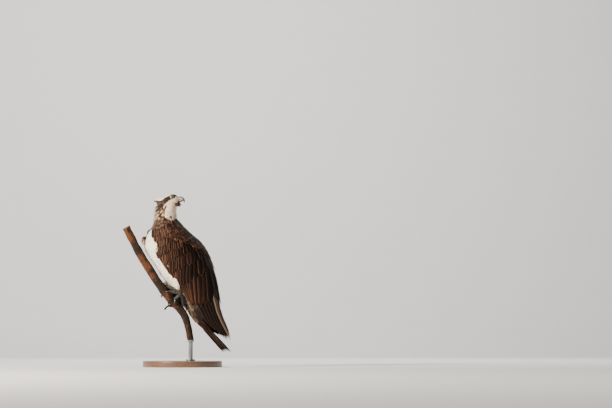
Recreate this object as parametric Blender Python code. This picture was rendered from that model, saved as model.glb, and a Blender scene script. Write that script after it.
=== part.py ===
"""A life-size osprey perched on a cut length of dead branch, held by a plain display stand.

World frame: metres, +Z up, origin at the centre of the stand base's underside. The camera side is -Y and the
bird's breast faces -X. Lengths below are in millimetres and become metres where each mesh is made.

Bird frame: H runs headwards along the body, D towards the back, L towards the bird's left.
"""

import math

import bmesh
import bpy
import numpy as np
from mathutils import Vector

MM = 0.001
GAP = 0.3  # left between pieces that touch

# How the bird sits: body slope above the horizon, turn towards the camera side, and the body's middle
BODY_SLOPE = math.radians(63)
BODY_TURN = math.radians(20)
BODY_MIDDLE = np.array([-16.5, 0.0, 345.0])

FORWARD = np.array([-math.cos(BODY_TURN), -math.sin(BODY_TURN), 0.0])
UP = np.array([0.0, 0.0, 1.0])
HEADWARDS = FORWARD * math.cos(BODY_SLOPE) + UP * math.sin(BODY_SLOPE)
BACKWARDS = -FORWARD * math.sin(BODY_SLOPE) + UP * math.cos(BODY_SLOPE)
LEFTWARDS = np.array([math.sin(BODY_TURN), -math.cos(BODY_TURN), 0.0])

# Torso sections: H, D of the centre, lean of the section in degrees, half depth, half width
TORSO = [
    (-150, -10, 0, 29, 33),
    (-120, -3, 0, 42, 42),
    (-90, 1.5, 0, 54, 51),
    (-55, 4, 0, 64, 58),
    (-18, 1.5, 0, 72, 63),
    (20, -2, 0, 74, 65),
    (60, -9.5, 2, 73, 65),
    (85, -12.5, 6, 68.5, 61),
    (105, -6, 11, 59, 54),
    (124, 8, 20, 46, 46),
    (138, 23, 27, 38.5, 40),
]

# Folded wing, its outer face: H, D of the centre, half depth, half width
WING = [
    (-318, 36, 9, 16),
    (-296, 34, 20, 21),
    (-260, 26.5, 33.5, 28),
    (-224, 20, 42, 35),
    (-172, 20, 54, 45),
    (-108, 23, 70, 61),
    (-60, 17.5, 83.5, 73),
    (0, 14, 87, 84),
    (30, 9, 84.5, 87),
    (60, 2, 77, 87),
    (85, 0.5, 68, 82),
    (110, -1, 61, 72),
    (140, 2, 54, 56),
]
WING_CORE_H = (134, 128, 114, 90, 60, 25, -15, -60, -108, -158, -206)
WRIST, WRIST_RADII = (99, -55, 47), (27, 15, 13)
WING_LOW, WING_HIGH = -60.0, 86.0
CORE_SINK = 2.6  # how far the core's outer face lies under the feathers' outer face
FEATHER_THICKNESS, SHINGLE_TILT, ROOT_SINK = 0.65, 0.9, 5.6
# Tiers of the folded wing, front to rear: feathers, root H, tip H at the lower and at the upper end of the row,
# lower and upper angle of the tips, how far the roots lie above the tips, lift of the tips, and tip shape
WING_TIERS = {
    "shoulder": (5, 122, 84, 86, -44, 74, 20, 1.2, "scale"),
    "lesser": (6, 98, 42, 44, -48, 78, 24, 1.2, "scale"),
    "median": (6, 62, -8, 6, -49, 80, 22, 1.0, "round"),
    "greater": (6, 22, -66, -44, -50, 79, 16, 1.0, "round"),
    "secondary": (6, -30, -150, -186, -49, 54, 6, 0.8, "round"),
    "tertial": (3, -22, -150, -200, 64, 81, 0, 1.4, "blade"),
}
# Primaries: tip angle, tip H, root H, lift of the tip
PRIMARIES = [
    (-30, -262, -112, -1.0),
    (-12, -286, -116, -0.4),
    (7, -304, -112, 0.2),
    (26, -315, -106, 0.8),
    (44, -313, -100, 1.4),
]
PRIMARY_HALF_ANGLE = 17.5

# Neck rings, world millimetres: height above the neck's foot, middle x and y, half width along x and along y
NECK = [
    (0, -55.5, -14.4, 38.5, 39.5),
    (14, -54.5, -15, 35.5, 35.5),
    (32, -54, -15, 33, 31.5),
    (52, -51.5, -14.5, 31, 28.5),
    (72, -50.5, -14, 23.5, 21),
]

# Head: middle of the skull, turn towards the camera side and upward tilt
HEAD_MIDDLE = np.array([-51.0, -14.0, 546.0])
HEAD_TURN = math.radians(14)
HEAD_TILT = math.radians(6)
# Head sections: distance forward, height of the centre, reach above it, reach below it, half width
HEAD = [
    (-40, 1, 6, 6, 7),
    (-36, 1, 8, 12, 13),
    (-28, 2, 8.5, 21, 19.5),
    (-16, 2.5, 9.5, 27, 23.5),
    (-2, 2, 15, 29, 24.5),
    (10, 2, 18.7, 27, 23.8),
    (20, 1.5, 19.3, 25, 21),
    (28, 1, 17.5, 22.5, 15.5),
    (33, 0.5, 14.5, 18.5, 11),
    (36, 0, 10.5, 13.2, 8.2),
]
EYE_CENTRE = (17.0, 12.6, 8.5)
EYE_RADIUS = 9.2
EYE_FORWARD = math.radians(24)
EYE_UP = math.radians(4)
LID_RADIUS, LID_THICKNESS = 6.6, 1.5

# Upper bill: forward and height of the centre, half height, half width, down to the hook's tip
BILL_ROOT = 36.0 + GAP
UPPER_BILL = [
    (BILL_ROOT, 3.2, 6.3, 7.2),
    (41, 3.6, 6.2, 6.8),
    (46, 3.2, 5.6, 5.9),
    (50, 1.2, 4.8, 4.8),
    (53.2, -2.2, 3.8, 3.7),
    (55, -6.2, 2.7, 2.7),
    (55.6, -10.2, 1.6, 1.7),
    (55.0, -14.2, 0.4, 0.5),
]
# Lower bill: forward, top, bottom, half width
LOWER_BILL = [
    (BILL_ROOT, -3.4, -9.4, 6.4),
    (42, -3.2, -9.2, 5.6),
    (47, -3.2, -8.6, 4.3),
    (50.5, -3.7, -7.4, 2.6),
    (52.2, -4.3, -6.2, 1.2),
]
NOSTRIL_CENTRE, NOSTRIL_RADII = (40.6, 6.0, 5.6), (2.1, 1.9, 0.8)

# Ragged locks of the nape: height of the tips, count and turn of each row on the neck
LOCK_THICKNESS = 1.3
NAPE_ROWS = [(9, 5, 0), (25, 5, 14), (43, 4, 4)]
NAPE_SPREAD, NAPE_WIDTH, NAPE_LENGTH = 72.0, 15.0, 21.0
CREST_LOCKS = 5

# Tail: the core under the coverts, then the feathers out to the tip
TAIL_CORE = [
    (-150 - GAP, -10, 0, 29, 33),
    (-172, -13, 0, 26, 29),
    (-198, -15, 0, 19, 23),
    (-222, -13, 0, 12, 16),
    (-238, -11, 0, 6.5, 12),
    (-247, -9, 0, 2, 7),
]
TAIL_PAIRS, TAIL_ROOT_H, TAIL_TIP_H = 6, -170.0, -350.0
TAIL_STEP, TAIL_LEVEL, TAIL_FEATHER_WIDTH = 5.8, 0.98, 19.0
TAIL_SLANT = 0.14  # how much further the far side of the tail reaches
TAIL_ROOT_SHARE = 0.4  # how wide the tail is at its roots, as a share of its tip
TAIL_MIDDLE_D = [(-360, 31), (-300, 12), (-250, -3), (-200, -12), (-150, -14)]
UNDERTAIL_COVERTS = [(-10, -206), (0, -214), (10, -208)]

# Perch: centre line in the bird's midplane from the lower cut to the upper cut (H, D), and its radius
PERCH_ROUTE = [
    (-276, -84, 11.5),
    (-232, -71, 11.5),
    (-185, -60, 11.8),
    (-160, -60, 12.5),
    (-130, -67, 13.5),
    (-95, -79, 14.5),
    (-60, -87.5, 14.5),
    (-30, -92.5, 14.2),
    (5, -98, 13.5),
    (69, -106.5, 11.5),
    (97, -108.5, 11.2),
    (180, -112, 11),
]
PERCH_CUT_Z = 88.0
STUB_ROUTE = [(-127, -69, -2), (-121, -82, -4), (-115, -95, -7), (-120, -110, -9)]
STUB_RADII = [6.5, 5.5, 4.6, 3.2]

# Legs, bird frame of the left one: H, D, L and radius
THIGH = [(-8, -28, 28, 18), (-36, -38, 34, 21), (-60, -43, 32, 18), (-76, -45, 28, 12.5), (-84, -46, 26, 9.5)]
SHANK_RADIUS = 6.2
ANKLE = (-94, -48, 23)
TOE_RADIUS, TOE_TIP_RADIUS, CLAW_RADIUS = 5.4, 4.4, 3.1
# Each toe: H of its ball on the branch, angle round the branch from its back, claw's angle, claw's H
NEAR_TOES = [(-60, 26, 40, -36), (-76, 56, 100, -64), (-104, 68, 116, -114), (-134, 32, 52, -160)]
FAR_TOES = [(-60, 26, 40, -36), (-76, 84, 158, -78), (-102, 92, 150, -112), (-134, 32, 52, -160)]

# Stand
BASE_RADIUS, BASE_HEIGHT, BASE_BEVEL = 130.0, 20.0, 3.0
ROD_RADIUS, COLLAR_RADIUS, COLLAR_HEIGHT, CAP_RADIUS = 7.0, 15.0, 5.0, 10.5

COLOURS = {
    "brown": ((0.045, 0.026, 0.018), 0.75),
    "white": ((0.78, 0.73, 0.65), 0.85),
    "neck": ((0.55, 0.42, 0.31), 0.85),
    "undertail": ((0.35, 0.28, 0.21), 0.85),
    "cere": ((0.16, 0.18, 0.20), 0.45),
    "bill": ((0.03, 0.03, 0.035), 0.35),
    "iris": ((0.62, 0.42, 0.03), 0.1),
    "foot": ((0.30, 0.31, 0.29), 0.7),
    "bark": ((0.19, 0.09, 0.05), 0.9),
    "wood": ((0.12, 0.055, 0.03), 0.4),
    "steel": ((0.35, 0.35, 0.36), 0.35),
}


def bird(h, d, left):
    """A point of the bird frame in world millimetres."""
    return BODY_MIDDLE + HEADWARDS * h + BACKWARDS * d + LEFTWARDS * left


HEAD_FORWARD = np.array(
    [math.cos(HEAD_TURN) * math.cos(HEAD_TILT), -math.sin(HEAD_TURN) * math.cos(HEAD_TILT), math.sin(HEAD_TILT)]
)
HEAD_LEFT = np.array([math.sin(HEAD_TURN), math.cos(HEAD_TURN), 0.0])
HEAD_UP = np.cross(HEAD_FORWARD, HEAD_LEFT)


def head_point(forward, left, up):
    """A point of the head's own frame in world millimetres."""
    return HEAD_MIDDLE + HEAD_FORWARD * forward + HEAD_LEFT * left + HEAD_UP * up


def table_at(table, key):
    """A row of a table, smoothly in between its own rows, without its first column."""
    rows = np.array(table, float)
    keys, values = rows[:, 0], rows[:, 1:]
    if keys[0] > keys[-1]:
        keys, values = keys[::-1], values[::-1]
    slopes = np.gradient(values, keys, axis=0)
    key = min(max(key, keys[0]), keys[-1])
    i = int(min(np.searchsorted(keys, key, side="right") - 1, len(keys) - 2))
    span = keys[i + 1] - keys[i]
    t = (key - keys[i]) / span
    return (
        values[i] * (2 * t**3 - 3 * t**2 + 1)
        + values[i + 1] * (3 * t**2 - 2 * t**3)
        + slopes[i] * span * (t**3 - 2 * t**2 + t)
        + slopes[i + 1] * span * (t**3 - t**2)
    )


def material(name):
    """The plain material of a colour's name, made once."""
    if name in bpy.data.materials:
        return bpy.data.materials[name]
    made = bpy.data.materials.new(name)
    made.use_nodes = True
    shader = made.node_tree.nodes["Principled BSDF"]
    colour, roughness = COLOURS[name]
    shader.inputs["Base Color"].default_value = (*colour, 1)
    shader.inputs["Roughness"].default_value = roughness
    shader.inputs["Metallic"].default_value = 1.0 if name == "steel" else 0.0
    made.diffuse_color = (*colour, 1)
    return made


def solid(name, points, faces, colour, smooth=True):
    """An object with a closed mesh, from points in world millimetres."""
    mesh = bpy.data.meshes.new(name)
    mesh.from_pydata([Vector(p) * MM for p in points], [], faces)
    body = bmesh.new()
    body.from_mesh(mesh)
    bmesh.ops.recalc_face_normals(body, faces=body.faces)
    bmesh.ops.triangulate(body, faces=body.faces)
    body.to_mesh(mesh)
    body.free()
    if smooth:
        mesh.shade_smooth()
        mesh.set_sharp_from_angle(angle=math.radians(50))
    obj = bpy.data.objects.new(name, mesh)
    obj.data.materials.append(material(colour))
    bpy.context.scene.collection.objects.link(obj)
    return obj


def loft(name, rings, colour, smooth=True):
    """A closed tube through rings of equally many points, with flat ends."""
    n = len(rings[0])
    points = [p for ring in rings for p in ring]
    faces = []
    for r in range(len(rings) - 1):
        for i in range(n):
            j = (i + 1) % n
            faces.append((r * n + i, r * n + j, (r + 1) * n + j, (r + 1) * n + i))
    faces.append(tuple(range(n))[::-1])
    faces.append(tuple((len(rings) - 1) * n + i for i in range(n)))
    return solid(name, points, faces, colour, smooth)


def tube_rings(centres, radii, sides, flat=1.0):
    """Rings square to a centre line. flat squeezes each ring along its second direction."""
    centres = [np.array(c, float) for c in centres]
    side = None
    rings = []
    for i, centre in enumerate(centres):
        along = centres[min(i + 1, len(centres) - 1)] - centres[max(i - 1, 0)]
        along /= np.linalg.norm(along)
        if side is None:
            side = np.cross(along, UP if abs(along[2]) < 0.9 else FORWARD)
        side = side - along * (side @ along)
        side /= np.linalg.norm(side)
        other = np.cross(along, side)
        angles = [2 * math.pi * k / sides for k in range(sides)]
        rings.append(
            [centre + radii[i] * (side * math.cos(a) + flat * other * math.sin(a)) for a in angles]
        )
    return rings


def smooth_line(points, count):
    """count points along a smooth curve through rows of numbers."""
    rows = [(i, *p) for i, p in enumerate(points)]
    return [table_at(rows, k) for k in np.linspace(0, len(points) - 1, count)]


FEATHER_SHAPES = {
    # share of the length, share of the half width, and how far the edges hold back from the shaft's line
    "scale": [(0, 0.6, 0), (0.75, 1.0, 0.02), (1.0, 0.45, 0.1)],
    "round": [(0, 0.6, 0), (0.45, 0.95, 0), (0.82, 0.95, 0.02), (1.0, 0.45, 0.07)],
    "blade": [(0, 0.6, 0), (0.3, 0.9, 0), (0.65, 1.0, 0), (0.9, 0.85, 0.01), (1.0, 0.4, 0.035)],
    "quill": [(0, 0.55, 0), (0.45, 0.95, 0), (0.88, 0.8, 0.01), (1.0, 0.3, 0.035)],
    "lock": [(0, 0.9, 0), (0.55, 0.9, 0), (1.0, 0.12, 0)],
}


def vane(place, root, tip, half, lifts, shape, thick=FEATHER_THICKNESS, tilt=SHINGLE_TILT, arch=0.35):
    """One feather as a thin closed blade, its shaft running from root to tip.

    place(u, v, lift) gives a point of the surface it lies on. half is its half width in units of v, and lifts are
    the heights of its root and its tip over that surface. Its low-v edge lies higher, over its neighbour.
    """
    points = []
    rows = FEATHER_SHAPES[shape]
    for share, width, hold in rows:
        lift = lifts[0] + (lifts[1] - lifts[0]) * share**0.8
        thickness = thick * (1 - 0.35 * share**3)
        for face in (0.5, -0.5):
            for edge in (-1, 0, 1):
                along = share - hold * abs(edge)
                u = root[0] + (tip[0] - root[0]) * along
                v = root[1] + (tip[1] - root[1]) * along + half * width * edge
                rise = arch * (1 - abs(edge)) - tilt * edge * width
                points.append(place(u, v, lift + rise + face * thickness))
    faces = []
    for r in range(len(rows) - 1):
        a, b = 6 * r, 6 * (r + 1)
        for e in (0, 1):
            # the upper and the lower face are split along the same diagonal, so that they can't cross
            faces += [(a + e, a + e + 1, b + e), (a + e + 1, b + e + 1, b + e)]
            faces += [(a + e + 4, a + e + 3, b + e + 3), (b + e + 4, a + e + 4, b + e + 3)]
        faces += [(a, b, a + 3), (b, b + 3, a + 3), (a + 2, a + 5, b + 2), (b + 2, a + 5, b + 5)]
    last = 6 * (len(rows) - 1)
    for e in (0, 1):
        faces += [(e, e + 3, e + 4, e + 1), (last + e, last + e + 1, last + e + 4, last + e + 3)]
    return solid("vane", points, faces, "brown", False)


def apply_modifiers(obj):
    """Turns the object's modifiers into its mesh."""
    bpy.context.view_layer.update()
    graph = bpy.context.evaluated_depsgraph_get()
    mesh = bpy.data.meshes.new_from_object(obj.evaluated_get(graph), depsgraph=graph)
    obj.modifiers.clear()
    obj.data = mesh
    return obj


def keep_largest(obj):
    """Keeps the largest closed surface of the mesh, and drops scraps."""
    body = bmesh.new()
    body.from_mesh(obj.data)
    body.faces.ensure_lookup_table()
    left = set(body.faces)
    groups = []
    while left:
        start = left.pop()
        group, edge = {start}, [start]
        while edge:
            face = edge.pop()
            for e in face.edges:
                for other in e.link_faces:
                    if other in left:
                        left.discard(other)
                        group.add(other)
                        edge.append(other)
        groups.append(group)

    def volume(group):
        return sum(f.calc_area() * f.normal.dot(f.calc_center_median()) / 3 for f in group)

    best = max(groups, key=volume)
    bmesh.ops.delete(body, geom=[f for f in body.faces if f not in best], context="FACES")
    body.to_mesh(obj.data)
    body.free()
    return obj


def inflated(obj, by):
    """A hidden copy of the object, grown by a distance in millimetres, to cut with."""
    copy = obj.copy()
    copy.data = obj.data.copy()
    copy.name = obj.name + "_cutter"
    copy.hide_render = True
    copy.display_type = "WIRE"
    bpy.context.scene.collection.objects.link(copy)
    body = bmesh.new()
    body.from_mesh(copy.data)
    body.normal_update()
    offsets = [v.normal * by * MM * min(v.calc_shell_factor(), 2.0) for v in body.verts]
    for vertex, offset in zip(body.verts, offsets):
        vertex.co += offset
    body.to_mesh(copy.data)
    body.free()
    return copy


def boolean(obj, operation, other=None, pieces=None):
    """Cuts or joins one object, or a list of pieces, and removes what was cut or joined with."""
    group = bpy.data.collections.new(obj.name + "_pieces")
    bpy.context.scene.collection.children.link(group)
    pieces = [other] if pieces is None else pieces
    for piece in pieces:
        bpy.context.scene.collection.objects.unlink(piece)
        group.objects.link(piece)
    before = obj.data
    for solver in ("MANIFOLD", "EXACT"):
        obj.data = before
        change = obj.modifiers.new("Boolean", "BOOLEAN")
        change.operation = operation
        change.solver = solver
        change.use_self = solver == "EXACT"
        change.operand_type = "COLLECTION"
        change.collection = group
        apply_modifiers(obj)
        if len(obj.data.vertices) not in (0, len(before.vertices)):
            break
    for piece in pieces:
        bpy.data.objects.remove(piece)
    bpy.data.collections.remove(group)
    return keep_largest(obj)


def cut_clear(obj, other, gap=GAP + 0.1):
    """Cuts the object back from another one, leaving the gap between touching pieces."""
    return boolean(obj, "DIFFERENCE", inflated(other, gap))


def body_ring(row, h, sides):
    """A ring of the torso or tail: centre D, lean, half depth and half width at H."""
    d, lean, depth, width = row
    lean = math.radians(lean)
    ring = []
    for k in range(sides):
        a = 2 * math.pi * k / sides
        across = depth * math.sin(a)
        ring.append(bird(h - across * math.sin(lean), d + across * math.cos(lean), width * math.cos(a)))
    return ring


def make_torso():
    heights = np.concatenate([np.linspace(-150, 85, 10), [96, 106, 115, 124, 131, 138]])
    return loft("torso", [body_ring(table_at(TORSO, h), h, 22) for h in heights], "white")


def neck_foot():
    """Height of the neck's foot, just above the torso's level top."""
    h, d = TORSO[-1][:2]
    return bird(h, d, 0)[2] + GAP


def neck_ring(z, sides, grow=0.0):
    x, y, rx, ry = table_at(NECK, z)
    foot = neck_foot()
    angles = [2 * math.pi * k / sides for k in range(sides)]
    return [
        np.array([x + (rx + grow) * math.cos(a), y + (ry + grow) * math.sin(a), foot + z]) for a in angles
    ]


def neck_point(z, angle, lift):
    """A point of the neck's side: angle in degrees from its nape, towards the camera side."""
    x, y, rx, ry = table_at(NECK, z)
    a = math.radians(180 + angle)
    return np.array([x + (rx + lift) * math.cos(a), y + (ry + lift) * math.sin(a), neck_foot() + z])


def make_neck():
    neck = loft("neck", [neck_ring(z, 18) for z in (0, 8, 18, 30, 42, 54, 64, 72)], "neck")
    rng = np.random.default_rng(3)
    locks = []
    for low_z, count, shift in NAPE_ROWS:
        for k in range(count):
            angle = -NAPE_SPREAD + 2 * NAPE_SPREAD * k / (count - 1) + shift + rng.uniform(-3, 3)
            tip_z = low_z + rng.uniform(-2, 2)
            out = 4.0 + rng.uniform(-0.8, 1.0)
            root, tip = (low_z + NAPE_LENGTH, angle + 4), (tip_z, angle)
            locks.append(
                vane(neck_point, root, tip, NAPE_WIDTH, (-4.5, out), "lock", LOCK_THICKNESS, 0.7, 0.8)
            )
    return boolean(neck, "UNION", pieces=locks)


def head_ring(x, sides):
    centre, above, below, width = table_at(HEAD, x)
    ring = []
    for k in range(sides):
        a = 2 * math.pi * k / sides
        c, s = math.cos(a), math.sin(a)
        brow = 1.6 * math.exp(-(((x - 15) / 11) ** 2)) * math.exp(-(((math.degrees(a) % 180) - 52) / 14) ** 2)
        brow += 1.6 * math.exp(-(((x - 15) / 11) ** 2)) * math.exp(-(((math.degrees(a) % 360) - 128) / 14) ** 2)
        brow = brow if s > 0 else 0.0
        up = above * s if s > 0 else below * s
        ring.append(head_point(x, (width + brow) * c, centre + up))
    return ring


def ball(name, centre, radii, axes, colour, rings=7, sides=12):
    """A sphere squeezed along three axes."""
    points = [centre + axes[2] * radii[2]]
    for r in range(1, rings):
        polar = math.pi * r / rings
        for k in range(sides):
            a = 2 * math.pi * k / sides
            points.append(
                centre
                + axes[0] * radii[0] * math.sin(polar) * math.cos(a)
                + axes[1] * radii[1] * math.sin(polar) * math.sin(a)
                + axes[2] * radii[2] * math.cos(polar)
            )
    points.append(centre - axes[2] * radii[2])
    last = len(points) - 1
    faces = []
    for k in range(sides):
        j = (k + 1) % sides
        faces.append((0, 1 + k, 1 + j))
        faces.append((last, last - sides + j, last - sides + k))
        for r in range(rings - 2):
            a, b = 1 + r * sides, 1 + (r + 1) * sides
            faces.append((a + k, b + k, b + j, a + j))
    return solid(name, points, faces, colour)


def eye_axes(side):
    """Right-handed axes of an eye, the last one looking out of the head."""
    out = (
        HEAD_FORWARD * math.sin(EYE_FORWARD) + HEAD_LEFT * side * math.cos(EYE_FORWARD)
    ) * math.cos(EYE_UP) + HEAD_UP * math.sin(EYE_UP)
    across = np.cross(HEAD_UP, out)
    across /= np.linalg.norm(across)
    return across, np.cross(out, across), out


def eye_centre(side):
    return head_point(EYE_CENTRE[0], side * EYE_CENTRE[1], EYE_CENTRE[2])


def make_eye(name, side):
    return ball(name, eye_centre(side), [EYE_RADIUS] * 3, eye_axes(side), "iris", 7, 12)


def make_lid(side):
    """A raised rim round the eye's opening."""
    across, up, out = eye_axes(side)
    middle = eye_centre(side) + out * 5.0
    points, faces = [], []
    sides, around = 16, 5
    for k in range(sides):
        a = 2 * math.pi * k / sides
        direction = across * math.cos(a) + up * math.sin(a)
        for j in range(around):
            b = 2 * math.pi * j / around
            radius = LID_RADIUS + LID_THICKNESS * math.cos(b)
            points.append(middle + direction * radius + out * LID_THICKNESS * math.sin(b))
    for k in range(sides):
        for j in range(around):
            a, b = k * around, ((k + 1) % sides) * around
            faces.append((a + j, b + j, b + (j + 1) % around, a + (j + 1) % around))
    return solid("lid", points, faces, "white")


def crown_point(x, angle, lift):
    """A point over the head: angle in degrees from its top towards its left."""
    centre, above, below, width = table_at(HEAD, max(x, -38))
    a = math.radians(90 - angle)
    up = (above if math.sin(a) > 0 else below) * math.sin(a)
    past = min(0.0, x + 38)
    return head_point(x, (width * math.cos(a)) * 1.0 + lift * math.cos(a), centre + up + lift * math.sin(a) + past * 0.2)


def make_crest():
    """Short ragged locks at the back of the crown."""
    locks = []
    for k in range(CREST_LOCKS):
        share = 2 * k / (CREST_LOCKS - 1) - 1
        angle = 62 * share
        tip = (-46 + 4 * abs(share) + 1.5 * math.sin(5 * k), angle * 1.05)
        locks.append(vane(crown_point, (-22, angle), tip, 15, (-3.5, 3.0), "lock", LOCK_THICKNESS, 0.5, 0.8))
    return locks


def make_mouth_cut(side):
    """A thin wedge that cuts the line of the mouth back from the bill to under the eye."""
    points = []
    for x, z, reach in ((38, -2.6, 14), (29, -3.6, 18), (19, -6.0, 26)):
        for tall in (0.55, -0.55):
            for depth in (-4.2, 3.0):
                width = table_at(HEAD, min(x, 36))[3]
                points.append(head_point(x, side * (width * 0.93 + depth), z + tall * (0.4 if x == 19 else 1.0)))
    faces = []
    for a, b in ((0, 4), (4, 8)):
        faces += [(a, b, b + 1, a + 1), (a + 1, b + 1, b + 3, a + 3), (a + 3, b + 3, b + 2, a + 2), (a + 2, b + 2, b, a)]
    faces += [(0, 1, 3, 2), (8, 10, 11, 9)]
    return solid("mouth_cut", points, faces, "bill", False)


def make_head():
    stations = [-40, -37, -31, -22, -11, 0, 7, 13, 19, 25, 30, 36]
    head = loft("head", [head_ring(x, 22) for x in stations], "white")
    boolean(head, "UNION", pieces=[make_lid(1), make_lid(-1)] + make_crest())
    boolean(head, "DIFFERENCE", pieces=[make_mouth_cut(1), make_mouth_cut(-1)])
    return head


def make_upper_bill():
    rings = []
    for x, z, tall, wide in smooth_line(UPPER_BILL, 9):
        rings.append((x, z, tall, wide))
    made = []
    for i, (x, z, tall, wide) in enumerate(rings):
        before, after = rings[max(i - 1, 0)], rings[min(i + 1, len(rings) - 1)]
        dx, dz = after[0] - before[0], after[1] - before[1]
        length = math.hypot(dx, dz)
        nx, nz = (-dz / length, dx / length) if i else (0.0, 1.0)
        ring = []
        for k in range(12):
            a = 2 * math.pi * k / 12
            ring.append(head_point(x + nx * tall * math.sin(a), wide * math.cos(a), z + nz * tall * math.sin(a)))
        made.append(ring)
    bill = loft("bill_upper", made, "cere")
    for side in (1, -1):
        centre = head_point(NOSTRIL_CENTRE[0], side * NOSTRIL_CENTRE[1], NOSTRIL_CENTRE[2])
        slit = ball("nostril", centre, NOSTRIL_RADII, (HEAD_FORWARD, HEAD_LEFT, HEAD_UP), "bill", 5, 8)
        boolean(bill, "DIFFERENCE", slit)
    return bill


def make_lower_bill():
    rings = []
    for x, top, bottom, wide in smooth_line(LOWER_BILL, 7):
        middle, tall = (top + bottom) / 2, (top - bottom) / 2
        angles = [2 * math.pi * k / 12 for k in range(12)]
        rings.append([head_point(x, wide * math.cos(a), middle + tall * math.sin(a)) for a in angles])
    return loft("bill_lower", rings, "bill")


def wing_point(side, h, angle, lift):
    """A point on a folded wing: angle in degrees round the body from its side towards the back, lift in mm."""
    d, depth, width = table_at(WING, h)
    a = math.radians(angle)
    return bird(h, d + (depth + lift) * math.sin(a), side * (width + lift) * math.cos(a))


def make_wing_core(name, side):
    """The folded wing under its feathers: a shell over the body's side, ending half way to the wing's tip."""
    front, rear = WING_CORE_H[0], WING_CORE_H[-1]
    rings = []
    for i, h in enumerate(WING_CORE_H):
        share = (h - rear) / (front - rear)
        thick = 3.5 + 10.5 * min(1.0, share * 2.5)
        pinch = {0: 0.72, 1: 0.92}.get(i, 1.0)
        low, high = WING_LOW * pinch + 2, WING_HIGH - 30 * (1 - pinch)
        if h < -120:
            high = WING_HIGH - (-120 - h) * 0.42
        angles = [low + (high - low) * k / 6 for k in range(7)]
        outer = [wing_point(side, h, a, -CORE_SINK) for a in angles]
        inner = [wing_point(side, h, a, -CORE_SINK - thick) for a in reversed(angles)]
        rings.append(outer + inner)
    return loft(name, rings, "brown")


def tier_vanes(side, tier, rng):
    """The feathers of one row of a folded wing."""
    count, root_h, low_h, high_h, low, high, rise, lift, shape = WING_TIERS[tier]
    step = (high - low) / max(count - 1, 1)
    half = step * 0.62

    def place(h, angle, height):
        return wing_point(side, h, min(angle, 88.6), height)

    made = []
    for i in range(count):
        share = i / max(count - 1, 1)
        tip_angle = low + step * i + rng.uniform(-0.06, 0.06) * step
        tip_h = low_h + (high_h - low_h) * share + rng.uniform(-4, 4)
        calm = min(1.0, max(0.0, (74 - tip_angle) / 60))
        root = (root_h + rng.uniform(-2, 2), tip_angle + rise * calm)
        made.append(vane(place, root, (tip_h, tip_angle), half, (-ROOT_SINK, lift), shape))
    return made


def primary_vanes(side, rng):
    """The long feathers of the wing's tip."""

    def place(h, angle, height):
        return wing_point(side, h, angle, height)

    made = []
    for angle, tip_h, root_h, lift in PRIMARIES:
        root = (root_h, angle + 4)
        tip = (tip_h + rng.uniform(-2, 2), angle)
        made.append(vane(place, root, tip, PRIMARY_HALF_ANGLE, (-ROOT_SINK - 1, lift), "quill", 0.8))
    return made


def make_wrist(side):
    """The bend of the wing on the far side, which stands out beyond the breast."""
    h, d, left = WRIST
    return ball("wrist", bird(h, d, side * left), WRIST_RADII, (HEADWARDS, BACKWARDS, LEFTWARDS), "brown", 5, 8)


def make_wing(name, side):
    rng = np.random.default_rng(7 if side > 0 else 8)
    core = make_wing_core(name, side)
    pieces = [] if side > 0 else [make_wrist(side)]
    pieces += [v for tier in WING_TIERS for v in tier_vanes(side, tier, rng)]
    return boolean(core, "UNION", pieces=pieces + primary_vanes(side, rng))


def tail_point(h, across, lift):
    """A point of the folded tail: across in mm towards the bird's left, lift in mm towards its back."""
    middle = table_at(TAIL_MIDDLE_D, h)[0]
    sag = 0.006 * across * across
    return bird(h, middle + lift - sag, across)


def make_tail():
    """The tail: a core under its coverts, six pairs of feathers, the middle pair on top, and undertail coverts."""
    rings = [body_ring(row[1:], row[0], 16) for row in TAIL_CORE]
    tail = loft("tail", rings, "brown")
    pieces = []
    for i in range(TAIL_PAIRS):
        for way in (1, -1):
            level = i + 1 if i else int(way < 0)
            across = way * (2.0 + TAIL_STEP * i)
            tip_h = TAIL_TIP_H + TAIL_SLANT * across + 1.2 * i
            height = 2.0 - level * TAIL_LEVEL
            half = TAIL_FEATHER_WIDTH / 2 * (1.0 if i == 0 else 0.62)
            root, tip = (TAIL_ROOT_H, across * TAIL_ROOT_SHARE), (tip_h, across)
            pieces.append(vane(tail_point, root, tip, half, (height, height), "quill", 0.62, 0.0, 0.1))
    for across, tip_h in UNDERTAIL_COVERTS:
        root = (-180, across * 0.7)
        pieces.append(vane(undertail_point, root, (tip_h, across), 7.0, (-4.0, 1.5), "blade", 0.9, 0.5))
    return boolean(tail, "UNION", pieces=pieces)


def undertail_point(h, across, lift):
    """A point under the tail's core, lift in mm away from it."""
    d, _, depth, width = table_at(TAIL_CORE, max(h, -216))
    reach = min(abs(across) / width, 0.95)
    past = max(0.0, -216 - h)
    return bird(h, d + past * 0.42 - (depth + lift) * math.sqrt(1 - reach**2), across)


def perch_line(count=20):
    """Points of the perch's centre line in the bird frame with its radius: H, D, radius."""
    return smooth_line(PERCH_ROUTE, count)


def make_perch():
    """The cut branch with slight swellings, and the broken stub of a twig on its far side from the bird."""
    line = perch_line()
    centres = [bird(h, d, 0) for h, d, _ in line]
    radii = [r * (1 + 0.025 * math.sin(i * 2.1)) for i, (_, _, r) in enumerate(line)]
    perch = loft("perch", tube_rings(centres, radii, 12), "bark")
    stub_line = [bird(h, d, left) for h, d, left in STUB_ROUTE]
    stub = loft("stub", tube_rings(stub_line, STUB_RADII, 8), "bark")
    return boolean(perch, "UNION", pieces=[stub])


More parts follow.
